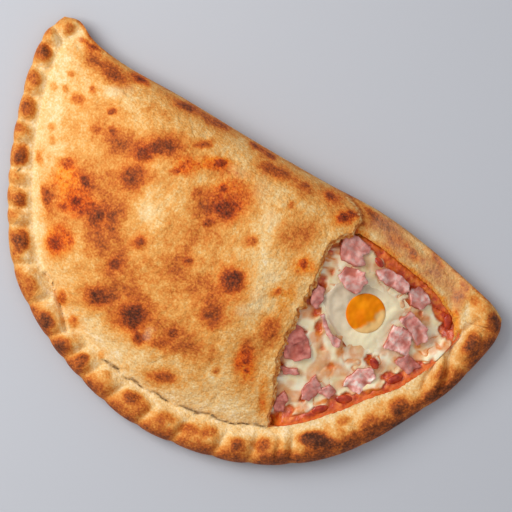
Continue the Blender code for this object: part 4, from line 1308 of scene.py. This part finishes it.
white_edge = from_photo(EGG_EDGE, EGG_HEIGHT)
white_centre = white_edge.mean(0)
white = pool("set_white", white_centre, white_edge, white_top, white_under)
around = np.linspace(0, math.tau, 16, endpoint=False)
yolk_edge = np.array(YOLK_CENTRE) + YOLK_RADIUS * np.c_[np.cos(around), np.sin(around)]
yolk = pool("soft_yolk", YOLK_CENTRE, yolk_edge,
            lambda p, q: white_top(p, 0 * q) + 0.1 + YOLK_CROWN * np.sqrt(np.clip(1 - q**2, 0, 1)),
            lambda p, q: white_top(p, 0 * q) - 0.5 * round_over((1 - q) * 8))

YOLK_FILM = ((372, 332, 14, 10, -20, 1.0), (384, 322, 9, 12, -20, 1.0), (358, 333, 9, 5, 0, 1.0))


def mark_egg(body):
    """Marks the film over the yolk, and the warmer side and the rim of the white."""
    points = vertices(body)
    flat = points[:, :2]
    pixels = to_photo(flat, points[:, 2]) + 1.4 * shift(flat, 2.6, 1.9, 6.3)
    mark(body, "film", blots(pixels, YOLK_FILM, 0.75, 1.2))
    mark(body, "warm", ease((pixels[:, 0] + pixels[:, 1] - 645) / 60))
    x, y = (flat - white_centre).T
    share = np.hypot(x, y) / egg_reach(np.arctan2(y, x), white_edge, white_centre)
    mark(body, "rim", ease((share - 0.7) / 0.3) * ease((pixels[:, 0] - 335) / 20))


WHITE_COLOURS = ((0.3, (196, 176, 146)), (0.7, (228, 210, 180)))
WARM_COLOUR = (255, 238, 196)
WHITE_RIM_COLOUR = (246, 228, 186)
YOLK_COLOURS = ((0.3, (238, 124, 0)), (0.7, (252, 154, 4)))
FILM_COLOUR = (238, 190, 120)


def white_paint():
    paint, shader = new_paint("set_egg_white", 0.22)
    cool = ramp(paint, grain(paint, 110, 2), WHITE_COLOURS)
    colour = blend(paint, reading(paint, "warm"), cool, linear(WARM_COLOUR))
    colour = blend(paint, reading(paint, "rim"), colour, linear(WHITE_RIM_COLOUR))
    feed(paint, shader.inputs["Base Color"], colour)
    soften(shader, 0.15, (0.004, 0.003, 0.002))
    bump(paint, shader, grain(paint, 180, 2), 0.25, 0.0014)
    return paint


def yolk_paint():
    paint, shader = new_paint("egg_yolk", 0.34)
    shader.inputs["Specular IOR Level"].default_value = 0.1
    rich = ramp(paint, grain(paint, 90, 2), YOLK_COLOURS)
    colour = blend(paint, reading(paint, "film"), rich, linear(FILM_COLOUR))
    feed(paint, shader.inputs["Base Color"], colour)
    return paint


for egg, egg_paint, egg_node in ((white, white_paint(), "egg_white"), (yolk, yolk_paint(), "egg_yolk")):
    mark_egg(egg)
    finish_mesh(egg, 70)
    egg.data.materials.append(egg_paint)
    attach(egg, "root")
    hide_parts(egg_node)


# Diced ham
# Pink dice of cooked ham cut from a thin slice, half sunk in the cheese.

HAM_THICK = 2.6
HAM_SUNK = 0.4
HAM_SPREAD = 1.1
HAM_GRAIN = 0.0006
HAM_HEIGHT = 30.0
HAM = {
    "ham_01": ((347, 233), (357, 238), (369, 247), (368, 253), (361, 255), (364, 264), (357, 266),
               (343, 259), (341, 248), (344, 240)),
    "ham_02": ((339, 276), (347, 267), (364, 273), (366, 283), (356, 294), (346, 288)),
    "ham_03": ((377, 271), (386, 269), (399, 275), (407, 282), (408, 291), (401, 293), (391, 287),
               (380, 280)),
    "ham_04": ((409, 292), (418, 287), (427, 294), (429, 303), (420, 309), (411, 305)),
    "ham_05": ((311, 294), (317, 284), (325, 289), (323, 298), (317, 309), (311, 303)),
    "ham_06": ((287, 335), (294, 326), (302, 328), (308, 341), (310, 355), (298, 360), (285, 357),
               (284, 346)),
    "ham_07": ((280, 366), (297, 369), (299, 375), (284, 373)),
    "ham_08": ((394, 326), (412, 332), (408, 355), (384, 347)),
    "ham_09": ((400, 321), (411, 313), (426, 328), (427, 340), (416, 344), (411, 332)),
    "ham_10": ((395, 362), (407, 354), (420, 366), (407, 373)),
    "ham_11": ((347, 378), (357, 370), (371, 369), (375, 378), (359, 393), (344, 385)),
    "ham_12": ((302, 389), (315, 375), (321, 389), (309, 400), (302, 398)),
    "ham_13": ((318, 391), (330, 385), (336, 391), (329, 398)),
    "ham_14": ((275, 400), (284, 391), (288, 399), (283, 411), (275, 410)),
    "ham_15": ((321, 316), (325, 315), (330, 332), (340, 339), (339, 346), (333, 345), (327, 334)),
}
# How pale each dice is, from deep red to washed-out pink. ham_06, in the shadow under the torn edge, is
# set deepest, partly as painted shade.
HAM_PALE_AND_SHADE = {
    "ham_01": 0.35, "ham_02": 0.6, "ham_03": 0.6, "ham_04": 0.65, "ham_05": 0.15, "ham_06": 0.0,
    "ham_07": 0.2, "ham_08": 0.8, "ham_09": 0.55, "ham_10": 0.2, "ham_11": 1.0, "ham_12": 0.3,
    "ham_13": 0.3, "ham_14": 0.0, "ham_15": 0.6,
}


def middle_plane(name):
    """The sloping plane through the middle of a CAD piece."""
    corners = vertices(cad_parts[name])
    fit, *_ = np.linalg.lstsq(np.c_[corners[:, :2], np.ones(len(corners))], corners[:, 2], rcond=None)
    return fit


def ham_slab(name, outline):
    fit = middle_plane(name)
    middle = np.mean(outline, axis=0)
    outline = middle + HAM_SPREAD * (np.array(outline) - middle)
    guess = from_photo(outline, HAM_HEIGHT)
    height = float((guess.mean(0) @ fit[:2]) + fit[2])
    corners = from_photo(outline, height)
    bpy.ops.mesh.primitive_circle_add(vertices=len(corners), fill_type="NGON")
    slab = bpy.context.object
    slab.name = name.replace("ham", "ham_dice")
    fit[2] += float(brim(corners.mean(0)[None])[0])
    move_vertices(slab, np.c_[corners, corners @ fit[:2] + fit[2] - HAM_THICK / 2 - HAM_SUNK])
    thick = slab.modifiers.new("thick", "SOLIDIFY")
    thick.thickness = HAM_THICK * MM
    thick.offset = 0
    net = slab.modifiers.new("net", "REMESH")
    net.mode = "VOXEL"
    net.voxel_size = HAM_GRAIN
    soft = slab.modifiers.new("soft", "SMOOTH")
    soft.iterations = 2
    apply_all(slab)
    points = vertices(slab)
    seed = float(name[-2:])
    side = shift(points[:, :2], 3.5, seed + 0.2, seed + 0.7)
    bend = noise(points[:, :2], (1.5, 7.0, seed), (0.4, 2.6, seed + 0.5))
    points[:, :2] += 0.8 * side
    points[:, 2] += bend + HAM_THICK / 2
    # How far up the dice each point lies; the paint darkens the lower sides as painted shade
    mark(slab, "up", ease((points[:, 2] - (points[:, :2] @ fit[:2] + fit[2]) + 0.2) / 1.2))
    # Each dice's paleness, which on ham_06 is partly painted shade
    mark(slab, "pale_and_shade", np.full(len(points), HAM_PALE_AND_SHADE[name]))
    move_vertices(slab, points)
    return slab


MEAT_COLOURS = ((0.3, (226, 140, 128)), (0.46, (250, 186, 174)), (0.62, (255, 232, 220)))
DEEP_MEAT_COLOURS = ((0.35, (164, 74, 62)), (0.65, (222, 138, 122)))
# Painted shade on the lower sides of the dice
HAM_SHADED_SIDE_COLOUR = (196, 104, 84)
HAM_FOLD_COLOURS = ((0.4, (206, 150, 138)), (0.52, (255, 255, 255)))


def ham_paint():
    paint, shader = new_paint("cooked_ham", 0.32)
    meat = ramp(paint, grain(paint, 320, 4), MEAT_COLOURS)
    deep = ramp(paint, grain(paint, 260, 3), DEEP_MEAT_COLOURS)
    # Meat from deep to pale by each dice's paleness, with painted shade on ham_06
    colour = blend(paint, reading(paint, "pale_and_shade"), deep, meat)
    # Painted shade: the lower sides of each dice darker than its top
    colour = blend(paint, reading(paint, "up"), linear(HAM_SHADED_SIDE_COLOUR), colour)
    fold = ramp(paint, grain(paint, 95, 3), HAM_FOLD_COLOURS)
    feed(paint, shader.inputs["Base Color"], blend(paint, 0.4, colour, fold, "MULTIPLY"))
    soften(shader, 0.2, (0.003, 0.001, 0.0008))
    bump(paint, shader, grain(paint, 600, 3), 0.35, 0.0008)
    return paint


meat_paint = ham_paint()
for ham_name, ham_outline in HAM.items():
    dice = ham_slab(ham_name, ham_outline)
    finish_mesh(dice, 60)
    dice.data.materials.append(meat_paint)
    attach(dice, "root")
    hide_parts(ham_name)


# Cooked tomato chunks
# Soft, wet lumps of tomato that stand out of the sauce.

FLESH_COLOURS = ((0.35, (150, 26, 10)), (0.65, (206, 74, 30)))


def tomato_paint():
    paint, shader = new_paint("cooked_tomato", 0.2)
    feed(paint, shader.inputs["Base Color"], ramp(paint, grain(paint, 260, 3), FLESH_COLOURS))
    soften(shader, 0.2, (0.004, 0.0008, 0.0004))
    bump(paint, shader, grain(paint, 420, 3), 0.4, 0.001)
    return paint


flesh_paint = tomato_paint()
for node_name in [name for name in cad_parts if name.startswith("tomato_0")]:
    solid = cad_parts[node_name]
    chunk = solid.copy()
    chunk.data = solid.data.copy()
    chunk.name = node_name.replace("tomato", "tomato_chunk")
    for key in list(chunk.keys()):
        del chunk[key]
    chunk.parent = None
    bpy.context.scene.collection.objects.link(chunk)
    join = chunk.modifiers.new("join", "WELD")
    join.merge_threshold = 1e-5
    fine = chunk.modifiers.new("fine", "SUBSURF")
    fine.levels = 2
    apply_all(chunk)
    finish_mesh(chunk, 60)
    chunk.data.materials.clear()
    chunk.data.materials.append(flesh_paint)
    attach(chunk, "root")
    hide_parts(node_name)
